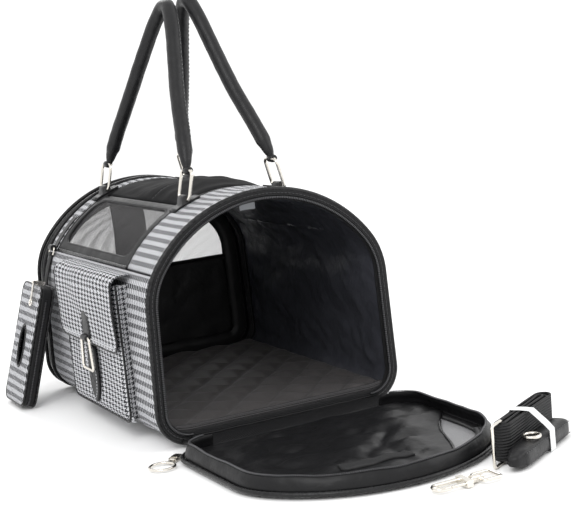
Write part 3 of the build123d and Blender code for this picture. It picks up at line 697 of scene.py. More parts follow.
for sign, side in ((-1, "left"), (1, "right")):
    w0, w1 = S_TOP + 1.5, S_WINDOW - 2.0
    y0, y1 = field_y0 - 1.5, field_y1 + 1.5
    inner = rounded_loop(w0 + FRAME_W, w1 - FRAME_W, y0 + FRAME_W, y1 - FRAME_W, 16, 7)
    outer = rounded_loop(w0, w1, y0, y1, 1.0, 7)
    stages = ((0.0, -2.4), (0.0, -0.4), (0.25, 0.5), (0.7, 0.6), (0.97, 0.1), (1.0, -0.5), (1.0, -2.4))
    edges = []
    for k, corner in enumerate(inner):
        following = (k + 1) % len(inner)
        n = max(1, round(math.dist(corner, inner[following]) / 6))
        edges += [[mixed(at[k], at[following], i / n) for at in (inner, outer)] for i in range(n)]
    rings, weave = [], []
    for near, far in edges:
        ring = []
        for f, out in stages:
            u, v = mixed(far, near, f)
            ring.append(bag(*on_arch(sign * u, out - 0.3 + (wrinkle(u, v, 5, 20, 0.8) if out > 0 else 0)), v))
            weave.append((u, v))
        rings.append(ring)
    border = loft(f"{side}_window_border", rings, NYLON, "bag", loop=True, weave=weave)
    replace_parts(border, f"{side}_window_frame")
    line = []
    for near, far in edges:
        u, v = mixed(near, far, 0.12)
        line.append(bag(*on_arch(sign * u, 0.45), v))
    stitches(f"{side}_window_stitching", line + line[:1], (sign * 0.9, 0, 0.45), "bag")
    us = steps(w0 + FRAME_W - 3, w1 - FRAME_W + 3, 6)
    vs = steps(y0 + FRAME_W - 3, y1 - FRAME_W + 3, 6)

    def sag(u, v):
        return 2.2 * edge_fade(u, us, 30) * edge_fade(v, vs, 60) + wrinkle(u, v, 1, 40, 0.8)

    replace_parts(tube_slab(f"{side}_window_net", us, vs, lambda u, v: -1.3 - sag(u, v),
                          lambda u, v: -1.9 - sag(u, v), MESH, sign), f"{side}_window")

# the nylon flap closed over the right window, inside it
us = steps(S_TOP + FRAME_W - 4, S_WINDOW - FRAME_W + 4, 5)
vs = steps(field_y0 + FRAME_W - 4, field_y1 - FRAME_W + 4, 5)


def slack(u, v):
    return 2.0 * edge_fade(u, us, 20) * abs(noise.noise(Vector((u / 22, v / 30, 4.4))))


tube_slab("right_window_blind", us, vs, lambda u, v: -4.6 - slack(u, v), lambda u, v: -5.4 - slack(u, v),
          LINING)

# base
base_u = steps(-CORNER_X - 0.3, CORNER_X + 0.3, 9.0)
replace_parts(slab("base_cloth", base_u, tube_y, lambda u, y: (u, y, BASE_Z + 0.3 + wrinkle(u, y, 9, 60, 0.5)),
                 lambda u, y: (u, y, BASE_Z + 4), NYLON, "bag"), "base_panel")

# ---------------------------------------------------------------- bound ends and zips

for name, y, sgn in (("front", FRONT_Y, 1), ("rear", REAR_Y, -1)):
    edge = ((0.6, 7), (1.0, 1.6), (-0.4, 0.2), (-4, -0.4), (-7.5, 0), (-10.0, 1.4), (-11.2, 4), (-10.6, 7),
            (-6, 7.4))
    profile = [(out, y + sgn * inward) for out, inward in edge]
    ring = arch_sweep(f"{name}_bound_edge", profile, bag, BINDING, "bag",
                      wave=lambda s, k, out, d: (wrinkle(s, k, 1, 14, 0.5), 0.0))
    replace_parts(ring, f"{name}_binding")
    teeth(f"{name}_zip_teeth", bag, -8.4, y - sgn * 0.9, "bag", -S_BASE, S_BASE)
    trail = [Vector(bag(*on_arch(s, -3.2), y - sgn * 0.55)) for s in steps(-S_BASE, S_BASE, 3)]
    stitches(f"{name}_edge_stitching", trail, (0, -sgn, 0), "bag")

# ---------------------------------------------------------------- lining

lining_y = steps(FRONT_Y + 7.5, REAR_Y - 7.5, 5.0, extra=(field_y0 + FRAME_W, field_y1 - FRAME_W))
top_edge, low_edge = S_TOP + FRAME_W, S_WINDOW - FRAME_W
lining_s = steps(-S_END, S_END, 5.0, extra=(-low_edge, -top_edge, top_edge, low_edge))


def fold(s, y):
    """Soft folds of the lining, which lies flat under the pad and at the seams."""
    a = abs(s)
    free = min(1.0, max(0.0, (S_BASE - 22 - a) / 40))
    at_ends = edge_fade(y, lining_y, 30)
    window_gap = 0.25 if top_edge - 8 < a < low_edge + 8 and field_y0 < y < field_y1 else 1.0
    big = max(0.0, noise.noise(Vector((s / 60, y / 90, 3.3))) + 0.2) * 8.0
    small = abs(noise.noise(Vector((s / 24 + y / 60, y / 34, 8.1)))) * 4.0
    return (big + small) * free * at_ends * window_gap


def in_window(s, y):
    return top_edge < abs(s) < low_edge and field_y0 + FRAME_W < y < field_y1 - FRAME_W


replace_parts(tube_slab("lining_cloth", lining_s, lining_y, lambda s, y: -4.4 - fold(s, y),
                      lambda s, y: -5.2 - fold(s, y), LINING, skip=in_window), "lining")

label_x = steps(-9, 11, 2.0)
label_z = steps(0, 14, 2.0)
slab("blank_woven_label", label_x, label_z, lambda u, v: (u, -165 + wrinkle(u, v, 1, 9, 0.8), 266 - v),
     lambda u, v: (u, -164.2, 266 - v), LABEL, "bag")

# ---------------------------------------------------------------- quilted pad

PAD_LOW, PAD_HIGH, PAD_X, PAD_Y0, PAD_Y1 = 14.4, 24.0, 139.5, -203.0, 177.5
CELL = 52.0
pad_x = steps(-PAD_X, PAD_X, 3.2)
pad_y = steps(PAD_Y0, PAD_Y1, 3.2)


def quilt(x, y):
    """Height of a diamond-quilted surface over its stitch lines, 0 to 1."""
    a, b = (x + y * 0.9) / CELL, (x - y * 0.9) / CELL
    d = min(abs(a - round(a)), abs(b - round(b))) * 2
    return min(1.0, d * 1.25) ** 0.55


def pad_top(x, y):
    fade = edge_fade(x, pad_x, 12) * edge_fade(y, pad_y, 10)
    z = PAD_HIGH - 3.4 + (5.6 * quilt(x, y) + wrinkle(x, y, 4, 50, 1.6)) * fade
    edge = max(0.0, abs(x) - 128) * 0.22
    return (x * (1 - 0.012 * (1 - edge_fade(x, pad_x, 8))), y, min(z + edge, 29.5))


def pad_bottom(x, y):
    return (x * 0.955, y, PAD_LOW)


pad = slab("quilted_floor_pad", pad_x, pad_y, pad_top, pad_bottom, PAD, "floor_pad")
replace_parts(pad, "quilted_pad")
edge_line = [Vector((x, PAD_Y0 - 0.4, (PAD_LOW + PAD_HIGH) / 2 + max(0, abs(x) - 118) * 0.14))
             for x in steps(-136, 136, 4)]
rod("pad_front_binding", edge_line, 5.2, PAD_BINDING, "floor_pad",
    shape=lambda k, a: 1.0 if abs(math.sin(a)) > 0.5 else 0.62)
quilt_lines = []
for sgn in (1, -1):
    for n in range(-9, 10):
        run = []
        for y in steps(PAD_Y0 + 8, PAD_Y1 - 8, 4):
            x = n * CELL - sgn * y * 0.9
            if abs(x) < 130:
                run.append(Vector((x, y, PAD_HIGH - 3.2 + wrinkle(x, y, 4, 50, 1.6) * 0.9)))
        for p, t in resample(run, 4.6) if len(run) > 1 else []:
            quilt_lines.append((p, t, Vector((0, 0, 1)).cross(t).normalized(), Vector((0, 0, 1))))
bits("pad_quilting_thread", quilt_lines, (3.0, 0.7, 0.6), THREAD, "floor_pad")

# ---------------------------------------------------------------- doors


def gusset(depth):
    """A wrinkled gusset wall, standing from the panel's edge to its zip."""
    profile = [(-1.6, 1.0), (-1.2, depth * 0.3), (-1.7, depth * 0.65), (-2.6, depth - 1), (-3.6, depth),
               (-5.2, depth - 0.6), (-4.6, depth * 0.65), (-4.2, depth * 0.3), (-4.6, 1.0)]

    def wave(s, k, out, d):
        f = d / depth
        return (wrinkle(s, d * 2, 2, 30, 2.2) * f - 4.5 * f * f, wrinkle(s, 1, 6, 38, 1.6) * f * f)
    return profile, wave


for name, place, depth in (("front_door", front_door, FRONT_GUSSET), ("rear_door", rear_door, REAR_GUSSET)):
    profile, wave = gusset(depth)
    if name == "rear_door":
        wave = (lambda s, k, out, d: (wrinkle(s, d * 2, 2, 30, 1.0) * min(1.0, d / 12), 0.0))
    wall = arch_sweep(f"{name}_gusset", profile, place, DOOR_NYLON, name,
                      low=-S_BASE - 9, high=S_BASE + 9, wave=wave)
    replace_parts(wall, f"{name}_rim")
    border_in = 28.0 if name == "rear_door" else 20.0
    profile = [(-3.2, 0.4), (-3.2, 2.2), (-8, 3.2), (-16, 3.4), (-border_in, 2.6), (-border_in, 0.5),
               (-14, 0.0)]
    border = arch_sweep(f"{name}_border", profile, place, NYLON, name,
                        wave=lambda s, k, out, d: (0.0, wrinkle(s, out, 3, 26, 0.8) if d > 2 else 0.0))
    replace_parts(border, f"{name}_panel")
    if name == "front_door":
        places = []
        for s in steps(-S_BASE + 4, S_BASE - 4, 2.3):
            shift = wave(s, 3, -3.6, depth)
            p = Vector(place(*on_arch(s, -3.8 + shift[0]), depth + 0.7 + shift[1]))
            q = Vector(place(*on_arch(s + 0.5, -3.8 + shift[0]), depth + 0.7 + shift[1]))
            t = (q - p).normalized()
            places.append((p, t, Vector((0, 0, 1)).cross(t).normalized(), Vector((0, 0, 1))))
        bits("front_door_zip_teeth", places, (1.3, 3.2, 1.5), GUNMETAL, name)
    else:
        teeth("rear_door_zip_teeth", place, -4.2, REAR_GUSSET + 0.1, name, -S_BASE + 4, S_BASE - 4)
    trail = [Vector(place(*on_arch(s, -6.0), 3.7)) for s in steps(-S_BASE, S_BASE, 3)]
    normal = (0, 0, 1) if name == "front_door" else (0, -1, 0)
    stitches(f"{name}_border_stitching", trail, normal, name)


def arch_disc(name, reach, height, thick, place, mat, body, centre=(0, 130), rings_n=26):
    """A sheet filling a closed outline given as a reach from a centre at each angle."""
    n = 132
    verts, faces, weave = [], [], []
    for face in (0, 1):
        for i in range(rings_n + 1):
            for j in range(n):
                a = 2 * math.pi * j / n
                r = reach(a) * i / rings_n
                x, z = centre[0] + r * math.cos(a), centre[1] + r * math.sin(a)
                f = i / rings_n
                verts.append(place(x, z, height(x, z, f) + (thick if face else 0.0)))
                weave.append((x, z))
    layer = (rings_n + 1) * n
    for face in (0, 1):
        o = face * layer
        for i in range(1, rings_n):
            for j in range(n):
                k = (j + 1) % n
                faces.append([o + i * n + j, o + i * n + k, o + (i + 1) * n + k, o + (i + 1) * n + j])
        faces.append([o + n + j for j in range(n)])
    for j in range(n):
        k = (j + 1) % n
        a, b = rings_n * n, layer + rings_n * n
        faces.append([a + j, a + k, b + k, b + j])
    used = sorted({v for f in faces for v in f})
    renum = {v: i for i, v in enumerate(used)}
    return piece(name, [verts[v] for v in used], [[renum[v] for v in f] for f in faces], mat, body,
                 [weave[v] for v in used])


def arch_reach(inset, centre=(0, 130)):
    """The distance from a centre to the arch at each angle, by stepping round the arch."""
    outline = []
    s = -S_END
    while s <= S_END:
        x, z = on_arch(s, -inset)
        x, z = x - centre[0], z - centre[1]
        outline.append((math.atan2(z, x) % (2 * math.pi), math.hypot(x, z)))
        s += 1.0
    outline.sort()

    def reach(a):
        a %= 2 * math.pi
        low = max((o for o in outline if o[0] <= a), default=outline[-1])
        return low[1]
    return reach


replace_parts(arch_disc("front_door_net", arch_reach(19), lambda x, z, f: 1.2 + wrinkle(x, z, 1, 40, 0.8), 0.6,
                      front_door, PAINTED_SHEEN_DOOR_MESH, "front_door"), "front_door_mesh")
SILL = 145.0


def cut_reach(inset, centre, keep_above):
    """The arch's reach from a centre, stopped at the window sill."""
    whole = arch_reach(inset, centre)

    def reach(a):
        r, rise = whole(a), math.sin(a)
        if keep_above and rise < -0.01 or not keep_above and rise > 0.01:
            r = min(r, (SILL - centre[1]) / rise)
        return r
    return reach


rear_net = arch_disc("rear_door_net", cut_reach(26, (0, 190), True), lambda x, z, f: 1.2 + 1.6 * (1 - f * f),
                     0.6, rear_door, PAINTED_SHEEN_DOOR_MESH, "rear_door", centre=(0, 190))
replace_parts(rear_net, "rear_door_mesh")
arch_disc("rear_door_lower_cloth", cut_reach(26, (0, 90), False),
          lambda x, z, f: 1.0 + wrinkle(x, z, 2, 34, 1.2), 1.6, rear_door, DOOR_NYLON, "rear_door",
          centre=(0, 90))
sill_line = [Vector(rear_door(x, SILL + 1.0, 2.4)) for x in steps(-126, 126, 4)]
rod("rear_window_sill_binding", sill_line, 3.6, BINDING, "rear_door",
    shape=lambda k, a: 1.0 - 0.4 * abs(math.cos(a)))

FLAP_C = (-14, 118)
FLAP_CUT, FLAP_CUT_NORMAL = (56.0, 232.0), (0.83, 0.56)
flap_arch = arch_reach(8, FLAP_C)


def flap_reach(a):
    """The inner flap covers the door but for a corner at the far right."""
    r = flap_arch(a)
    (cut_x, cut_z), (nx, nz) = FLAP_CUT, FLAP_CUT_NORMAL
    towards = math.cos(a) * nx + math.sin(a) * nz
    if towards > 0.05:
        limit = ((cut_x - FLAP_C[0]) * nx + (cut_z - FLAP_C[1]) * nz) / towards
        bend = 10 * math.sin(3.0 * (a - 0.55))
        r = min(r, limit + bend)
    return r


def flap_height(x, z, f):
    ripple = abs(noise.noise(Vector((x / 46 + z / 90, z / 30, 5.5)))) * 6.5
    fine = wrinkle(x, z, 7, 15, 1.4)
    return 3.6 + (ripple + fine + 1.2) * min(1.0, (1.02 - f) * 6) ** 0.7


door_flap = arch_disc("front_door_inner_flap", flap_reach, flap_height, 0.8, front_door, DOOR_NYLON,
                      "front_door", centre=FLAP_C, rings_n=44)
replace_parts(door_flap, "front_door_flap")
edge = []
for k in range(0, 46):
    a = math.radians(2 + 1.6 * k)
    r = flap_reach(a)
    if r < flap_arch(a) - 1:
        edge.append(Vector(front_door(FLAP_C[0] + r * math.cos(a), FLAP_C[1] + r * math.sin(a), 4.8)))
if len(edge) > 3:
    rod("front_door_flap_edge", edge, 1.7, PIPING, "front_door", sides=8)


def flap_top(x, z):
    r = math.hypot(x - FLAP_C[0], z - FLAP_C[1])
    a = math.atan2(z - FLAP_C[1], x - FLAP_C[0])
    return flap_height(x, z, min(1.0, r / flap_reach(a))) + 0.8


us, vs = steps(-50, 30, 3), steps(195, 215, 3)
slab("front_door_hook_tape", us, vs, lambda u, v: front_door(u, v, flap_top(u, v) + 1.8),
     lambda u, v: front_door(u, v, flap_top(u, v) - 0.3), VELCRO, "front_door")
strip_profile = [(-6, 4.0), (-6, 5.4), (-14, 6.8), (-21, 6.2), (-21, 5.0)]
arch_sweep("front_door_air_strip", strip_profile, front_door, DARK_MESH, "front_door",
           low=-S_SIDE * 0.9, high=S_SIDE * 0.9)

us, vs = steps(-41, 7, 4), steps(34, 248, 5)


def strip_top(u, v):
    crown = 3.5 * math.sin((u + 41) / 48 * math.pi)
    return rear_door(u + 2.2 * math.sin(v / 26), v, 5.2 + crown + wrinkle(u, v, 2, 14, 1.6))


strip = slab("rear_door_roll_strip", us, vs, strip_top,
             lambda u, v: rear_door(u + 2.2 * math.sin(v / 26), v, 3.9), DOOR_NYLON, "rear_door")
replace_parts(strip, "rear_door_strip")

# fabric hinges
for name, body, y_in, y_out, z_in, z_out in (
        ("front_hinge_cloth", "front_door", FRONT_Y + 3, -247.0, 9.5, 6.6),
        ("rear_hinge_cloth", "rear_door", REAR_Y - 3, 209.5, 9.5, 9.0)):
    us, vs = steps(-HINGE_HALF, HINGE_HALF, 6), steps(0, 1, 1 / 14)

    def hinge_top(u, v):
        y = y_in + (y_out - y_in) * v
        roll = 4.0 * math.sin(math.pi * v) ** 0.8
        return (u, y, z_in + (z_out - z_in) * v + roll + wrinkle(u, y, 3, 22, 1.0))

    def hinge_low(u, v):
        return (u, y_in + (y_out - y_in) * v, z_in + (z_out - z_in) * v - 1.8)

    cloth = slab(name, us, vs, hinge_top, hinge_low, BINDING, None)
    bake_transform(cloth)
    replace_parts(cloth, "front_threshold" if name.startswith("front") else "rear_threshold")

# ---------------------------------------------------------------- side pocket

PY0, PY1, PZ0, PZ1 = -143.0, 62.0, 22.0, 186.0
py, pz = steps(PY0 + 1, PY1 - 1, 5), steps(PZ0 + 1, PZ1, 5)


def pocket_x(y, z, layer):
    """The pocket's face: rounded at its seams, slack and hollow under the flap."""
    ey, ez = min(y - PY0, PY1 - y) / 12, (z - PZ0) / 12
    round_off = sum(5.0 * (1 - e) ** 2 for e in (ey, ez) if e < 1)
    slack = wrinkle(y, z, 2, 55, 2.4) - 1.5 * math.sin(math.pi * (z - PZ0) / (PZ1 - PZ0))
    return -(167.0 - round_off + slack * min(1, max(0, min(ey, ez) / 2))) + layer


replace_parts(slab("pocket_cloth", pz, py, lambda z, y: (pocket_x(y, z, 0), y, z),
                 lambda z, y: (pocket_x(y, z, 1.6), y, z), TOOTH, "bag"), "side_pocket")
outline = [(PY0 + 1.5, PZ1)] + [(PY0 + 1.5, z) for z in steps(PZ1 - 6, PZ0 + 10, 6)]
outline += [(PY0 + 4, PZ0 + 4), (PY0 + 10, PZ0 + 1.5)]
outline += [(y, PZ0 + 1.5) for y in steps(PY0 + 16, PY1 - 16, 6)]
outline += [(PY1 - 10, PZ0 + 1.5), (PY1 - 4, PZ0 + 4), (PY1 - 1.5, PZ0 + 10)]
outline += [(PY1 - 1.5, z) for z in steps(PZ0 + 16, PZ1, 6)]
mid_y = (PY0 + PY1) / 2


def wall_x(z):
    """The outer face of the left side panel at a height."""
    if z >= SHOULDER_Z:
        return -(SHOULDER_CX + math.sqrt(max(0.0, (SHOULDER_R + 0.6) ** 2 - (z - SHOULDER_CZ) ** 2)))
    if z >= LOW_Z:
        return -(LOW_X - (z - LOW_Z) * math.tan(LEAN)) - 0.4
    return -(CORNER_X + math.sqrt(max(0.0, (CORNER_R + 0.4) ** 2 - (z - CORNER_Z) ** 2)))


rings, weave = [], []
for i, (y, z) in enumerate(outline):
    ring = []
    inward = Vector((0, mid_y - y, (PZ0 + PZ1) / 2 - z)).normalized()
    depth0, depth1 = wall_x(z) + 1.0, -162.8
    for k, (f, t) in enumerate(((0, 0), (0.35, 0), (0.7, 0), (1, 0), (1, 1.4), (0.5, 1.4), (0, 1.4))):
        x = depth0 + (depth1 - depth0) * f
        tuck = 1.6 * math.sin(math.pi * f) * (t == 0)
        ring.append((x, y + inward.y * (t + tuck), z + inward.z * (t + tuck)))
        weave.append((x, i * 5.5))
    rings.append(ring)
# the gusset wears the shaded copy of the houndstooth; its darkness is painted shade
loft("pocket_gusset", rings, PAINTED_SHADE_TOOTH, "bag", weave=weave)
rim = smooth_line([(-163.6, y, z) for y, z in outline[::2]], 4)
rod("pocket_piping", rim, 1.5, PIPING, "bag", sides=8)

# flap
profile = smooth_line([(-145.6, 0, 195.5), (-154, 0, 196.2), (-163, 0, 194.6), (-168.6, 0, 189.5),
                       (-170.4, 0, 181), (-171, 0, 160), (-170.6, 0, 130), (-170.2, 0, 106)], 4)
lengths = [0.0]
for a, b in zip(profile, profile[1:]):
    lengths.append(lengths[-1] + (b - a).length)
total = lengths[-1]
flap_v = steps(-1, 1, 2 / 44)


def flap_point(p, v, thick):
    k = max(i for i, q in enumerate(lengths) if q <= p + 1e-6)
    k = min(k, len(profile) - 2)
    f = (p - lengths[k]) / (lengths[k + 1] - lengths[k])
    base = profile[k].lerp(profile[k + 1], f)
    t = (profile[k + 1] - profile[k]).normalized()
    n = Vector((t.z, 0, -t.x))
    half = (PY1 - PY0) / 2 + 1.5
    left = total - p
    if left < 18:
        half -= 18 - math.sqrt(max(0.0, 18**2 - (18 - left) ** 2))
    root_fade = min(1.0, p / 30)
    slack = (wrinkle(v * 90, p, 3, 42, 2.4) + 1.2 * math.sin(math.pi * p / total)) * root_fade
    out = thick + slack
    x = base.x - abs(n.x) * out if p > 22 else base.x
    return (x, mid_y + v * half, base.z + (out * 0.8 if p <= 40 else 0))


flap_p = steps(0, total - 0.3, 3.4)
flap = slab("pocket_flap_cloth", flap_p, flap_v, lambda p, v: flap_point(p, v, 1.0),
            lambda p, v: flap_point(p, v, -0.7), TOOTH, "pocket_flap")
for value in flap.data.attributes["weave"].data:
    u, v, _ = value.vector
    value.vector = (u, v * (PY1 - PY0) / 2, 0)
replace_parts(flap, "pocket_flap")
hem_end = total - 0.4
hem = [flap_point(p, -1, 0.6) for p in steps(26, hem_end, 3)]
hem += [flap_point(hem_end, v, 0.6) for v in steps(-1, 1, 0.04)[1:-1]]
hem += [flap_point(p, 1, 0.6) for p in steps(hem_end, 26, 3)]
rod("flap_edge_piping", [Vector(p) for p in hem], 1.3, PIPING, "pocket_flap", sides=8)
seam_line = [Vector(flap_point(total - 6.5, v, 1.7)) for v in steps(-0.93, 0.93, 0.02)]
rod("flap_pale_seam", seam_line, 0.8, WHITE_THREAD, "pocket_flap", sides=6)

# closure


def leaf(name, outline_yz, x_back, x_front, mat, body, crown):
    """A soft-edged leather patch facing -X, from a closed outline."""
    cy = sum(p[0] for p in outline_yz) / len(outline_yz)
    cz = sum(p[1] for p in outline_yz) / len(outline_yz)
    rings = []
    for f, x in ((1.0, x_back), (1.0, x_front + 0.5), (0.94, x_front + 0.1), (0.8, x_front),
                 (0.45, x_front - crown), (0.08, x_front - crown)):
        rings.append([(x, cy + (y - cy) * f, cz + (z - cz) * f) for y, z in outline_yz])
    return loft(name, rings, mat, body)


def closed_outline(points, size):
    """A smooth closed (y, z) outline from points given about the pocket's middle."""
    return [(p.y, p.z) for p in smooth_line([(0, mid_y + y, z) for y, z in points], size, closed=True)]


tongue = closed_outline([(0, 32), (10, 41), (15.5, 60), (15, 84), (12, 100), (0, 103), (-12, 100), (-15, 84),
                         (-15.5, 60), (-10, 41)], 2.5)
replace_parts(leaf("pocket_leather_tongue", tongue, -167.4, -171.0, LEATHER, "bag", crown=1.0),
            "pocket_tongue")
inset = [Vector((-171.6, mid_y + (y - mid_y) * 0.82, 66 + (z - 66) * 0.84)) for y, z in tongue]
stitches("tongue_stitching", inset + inset[:1], (-1, 0, 0), "bag", WHITE_THREAD, 2.6, 1.8)
for k, (a, b) in enumerate((((-9, 74), (9, 58)), ((9, 74), (-9, 58)))):
    cross = [(-172.2, mid_y + y, z) for y, z in (mixed(a, b, f) for f in steps(0, 1, 0.1))]
    stitches(f"tongue_cross_seam_{k}", cross, (-1, 0, 0), "bag", None, 2.4, 1.2)
belt = closed_outline([(12.5, 112), (12.5, 132), (12.5, 150), (8, 159), (0, 162), (-8, 159), (-12.5, 150),
                       (-12.5, 132), (-12.5, 112), (-8, 108.5), (8, 108.5)], 2.5)
flap_belt = leaf("flap_leather_strap", belt, -169.5, -173.4, LEATHER, "pocket_flap", crown=0.7)
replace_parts(flap_belt, "flap_strap")
inset = [Vector((-174.1, mid_y + (y - mid_y) * 0.8, 134 + (z - 134) * 0.86)) for y, z in belt]
stitches("strap_stitching", inset + inset[:1], (-1, 0, 0), "pocket_flap", None, 2.6, 1.6)
rod("strap_loop_fold", [Vector((-175.0, y, 113)) for y in steps(mid_y - 9, mid_y + 9, 2)], 3.9, LEATHER,
    "pocket_flap", sides=14)

# ---------------------------------------------------------------- carrying handles

HX, HZ, TABS = 62.0, 271.0, (-128.0, 155.0)
GRIP_RISE = 238.0
TOP_X = {-1: 3.0, 1: 26.0}   # how far each grip's top stays from the middle plane
TILT = {side: math.asin((HX - x) / GRIP_RISE) for side, x in TOP_X.items()}
MID = sum(TABS) / 2
HALF = (TABS[1] - TABS[0]) / 2


def leaning(side, a, b, c=0.0):
    """A point of a handle's leaning plane: along the bag, up the grip, out of the plane."""
    up = Vector((-side * math.sin(TILT[side]), 0, math.cos(TILT[side])))
    across = Vector((side * math.cos(TILT[side]), 0, math.sin(TILT[side])))
    return Vector((side * HX, a, HZ)) + up * b + across * c


def skin_z(x):
    """The height of the tunnel's top at x, 1 mm out."""
    if abs(x) < on_arch(S_SHOULDER)[0]:
        return CROWN_CZ + math.sqrt((CROWN_R + 1.0) ** 2 - x * x)
    return SHOULDER_CZ + math.sqrt((SHOULDER_R + 1.0) ** 2 - (abs(x) - SHOULDER_CX) ** 2)


for side, name in ((-1, "left"), (1, "right")):
    rise = [(-HALF + 3, 36), (-HALF + 9, 50), (-HALF + 27, 79), (-84, 122), (-57, 168), (-32, 210),
            (-12, 234)]
    control = rise + [(0, GRIP_RISE)] + [(-a, b) for a, b in reversed(rise)]
    line = smooth_line([leaning(side, MID + a, b, 1.5 * math.sin(a / 29 + side)) for a, b in control], 3.0)
    count = len(line)

    def grip(k, a):
        from_end = min(k, count - 1 - k) * 3.0
        width = 4.2 + 5.0 * min(1.0, max(0.0, (from_end - 4) / 20)) ** 0.7
        crease = 0.34 * noise.noise(Vector((k * 3.0 / 11, math.cos(a) * 1.3, math.sin(a) * 1.3 + side * 9)))
        seam_ridge = 0.9 * math.exp(-((((a - 0.35) % (2 * math.pi)) / 0.22) ** 2))
        return width + crease + seam_ridge

    handle = rod(f"{name}_rolled_handle", line, 1.0, LEATHER, f"{name}_handle", sides=26,
                 shape=grip)
    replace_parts(handle, f"{name}_handle")
    for end, y in enumerate(TABS):
        turns = [2 * math.pi * k / 18 for k in range(18)]
        rings = []
        for dy, r in ((-6.5, 3.6), (-6, 4.5), (0, 4.9), (6, 4.5), (6.5, 3.6)):
            rings.append([tuple(leaning(side, y + dy, 34 + r * math.sin(a), r * math.cos(a))) for a in turns])
        loft(f"{name}_handle_loop_{end}", rings, LEATHER, f"{name}_handle")
    seam_a = 0.05
    thread = []
    for k, (p, t, across, up) in enumerate(frames_along(line)):
        if 12 < k < count - 13 and k % 2 == 0:
            n = across * math.cos(seam_a) + up * math.sin(seam_a)
            thread.append((p + n * (grip(k, seam_a) + 0.15), t, n.cross(t).normalized(), n))
    bits(f"{name}_handle_stitching", thread, (3.4, 0.8, 0.6), THREAD, f"{name}_handle")

    tab_pieces = []
    wing = (17.0, 14, 10, 6.8)
    tab_x = side * HX
    for end, y in enumerate(TABS):
        upper = [(tab_x - dx, skin_z(tab_x - dx) + 3.0) for dx in wing]
        for a in range(180, -1, -20):
            upper.append((tab_x + 5.4 * math.cos(math.radians(a)), HZ + 5.4 * math.sin(math.radians(a))))
        upper += [(tab_x + dx, skin_z(tab_x + dx) + 3.0) for dx in reversed(wing)]
        lower = [(tab_x + dx, skin_z(tab_x + dx) + 0.2) for dx in wing + tuple(-w for w in reversed(wing))]
        rings = []
        for dy, f in ((-9.0, 0.93), (-8.4, 1.0), (0, 1.0), (8.4, 1.0), (9.0, 0.93)):
            section = [mixed((tab_x, HZ - 2), point, f) for point in upper + lower]
            rings.append([(x, y + dy, z) for x, z in section])
        tab_pieces.append(loft(f"{name}_leather_tab_{end}", rings, LEATHER, "bag"))
        for dx, near in ((-15.4, -14), (-8.6, -10), (8.6, 10), (15.4, 14)):
            run = [(tab_x + dx, y + q, skin_z(tab_x + near) + 3.3) for q in steps(-7.5, 7.5, 2)]
            stitches(f"{name}_tab_stitching_{end}_{int(dx) + 20}", run, (0, 0, 1), "bag", None,
                     2.4, 1.4)
    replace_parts(tab_pieces[0], f"{name}_handle_tabs")

# ---------------------------------------------------------------- pouch

PT = math.radians(17)
P0 = Vector((-143.8, 158, 203))
P_DOWN = Vector((-math.sin(PT), 0, -math.cos(PT)))
P_OUT = Vector((-math.cos(PT), 0, math.sin(PT)))


def pouch_at(a, down, out):
    return P0 + Vector((0, 1, 0)) * a + P_DOWN * down + P_OUT * out


PW, PH, PDROP = 42.0, 160.0, 51.0
loop = densify(rounded_loop(-PW, PW, 0.5, PH - 0.5, 12, 6), 6)
MIDDLE = PH / 2


def shrunk(f):
    """The pouch's outline scaled about its centre."""
    return [(a * f, MIDDLE + (d - MIDDLE) * f) for a, d in loop]


def pouch_ring(f, out):
    ring = []
    for x, y in shrunk(f):
        slump = wrinkle(x, y, 1, 34, 1.3) if f < 0.97 else 0.0
        ring.append(tuple(pouch_at(x, PDROP + y, out + slump)))
    return ring


SLOT_A, SLOT_D, SLOT_C = 13.0, 28.0, PH / 2 + 4


def slot_at(t, out, grow=0.0, f=1.0):
    """A point of the pouch's oval slot at an angle, grown by a margin or scaled."""
    down = PDROP + SLOT_C + f * (SLOT_D + grow) * math.sin(t)
    return pouch_at(f * (SLOT_A + grow) * math.cos(t), down, out)


slot_turns = [math.atan2((d - MIDDLE) / SLOT_D, a / SLOT_A) for a, d in loop]
front, weave = [], []
for f, out in ((1.0, 16.6), (0.985, 18.2), (0.95, 19.0), (0.85, 19.6), (0.7, 20.0), (0.55, 20.2)):
    front.append(pouch_ring(f, out))
    weave += shrunk(f)
for f in (0.5, 0.0):
    ring = []
    for t, outer_point in zip(slot_turns, shrunk(0.55)):
        x, y = mixed((SLOT_A * math.cos(t), SLOT_C + SLOT_D * math.sin(t)), outer_point, f)
        ring.append(tuple(pouch_at(x, PDROP + y, 20.0)))
        weave.append((x, y))
    front.append(ring)
for out in (18.4, 17.2):
    front.append([tuple(slot_at(t, out)) for t in slot_turns])
    weave += loop
for f, out in ((0.55, 17.6), (0.85, 17.2), (0.97, 16.2)):
    front.append(pouch_ring(f, out))
    weave += shrunk(f)
shell = loft("pouch_face_cloth", front, TOOTH, "pouch", loop=True, weave=weave)
back = [pouch_ring(f, out) for f, out in ((0.3, 0.3), (0.9, 0.0), (0.99, 0.6), (1.0, 2.0), (0.97, 2.4),
                                          (0.9, 1.8), (0.3, 1.9))]
loft("pouch_back_cloth", back, TOOTH, "pouch", weave=[(a, d) for _ in back for a, d in loop])
side_wall = [pouch_ring(f, out) for f, out in ((0.985, 1.2), (1.0, 5.0), (0.985, 9.0), (1.0, 13.5),
                                               (0.99, 16.8), (0.95, 16.4), (0.955, 9.0), (0.95, 1.6))]
loft("pouch_gusset", side_wall, NYLON, "pouch", loop=True)
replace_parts(shell, "pouch_shell")
for out, tag in ((17.6, "front"), (1.2, "back")):
    rod(f"pouch_{tag}_piping", [Vector(p) for p in pouch_ring(1.0, out)], 1.3, PIPING, "pouch",
        sides=8, closed=True)
turns = [2 * math.pi * k / 40 for k in range(40)]
lining_ring = [[tuple(slot_at(a, 14.0, 3, f)) for a in turns] for f in (1.0, 0.5, 0.02)]
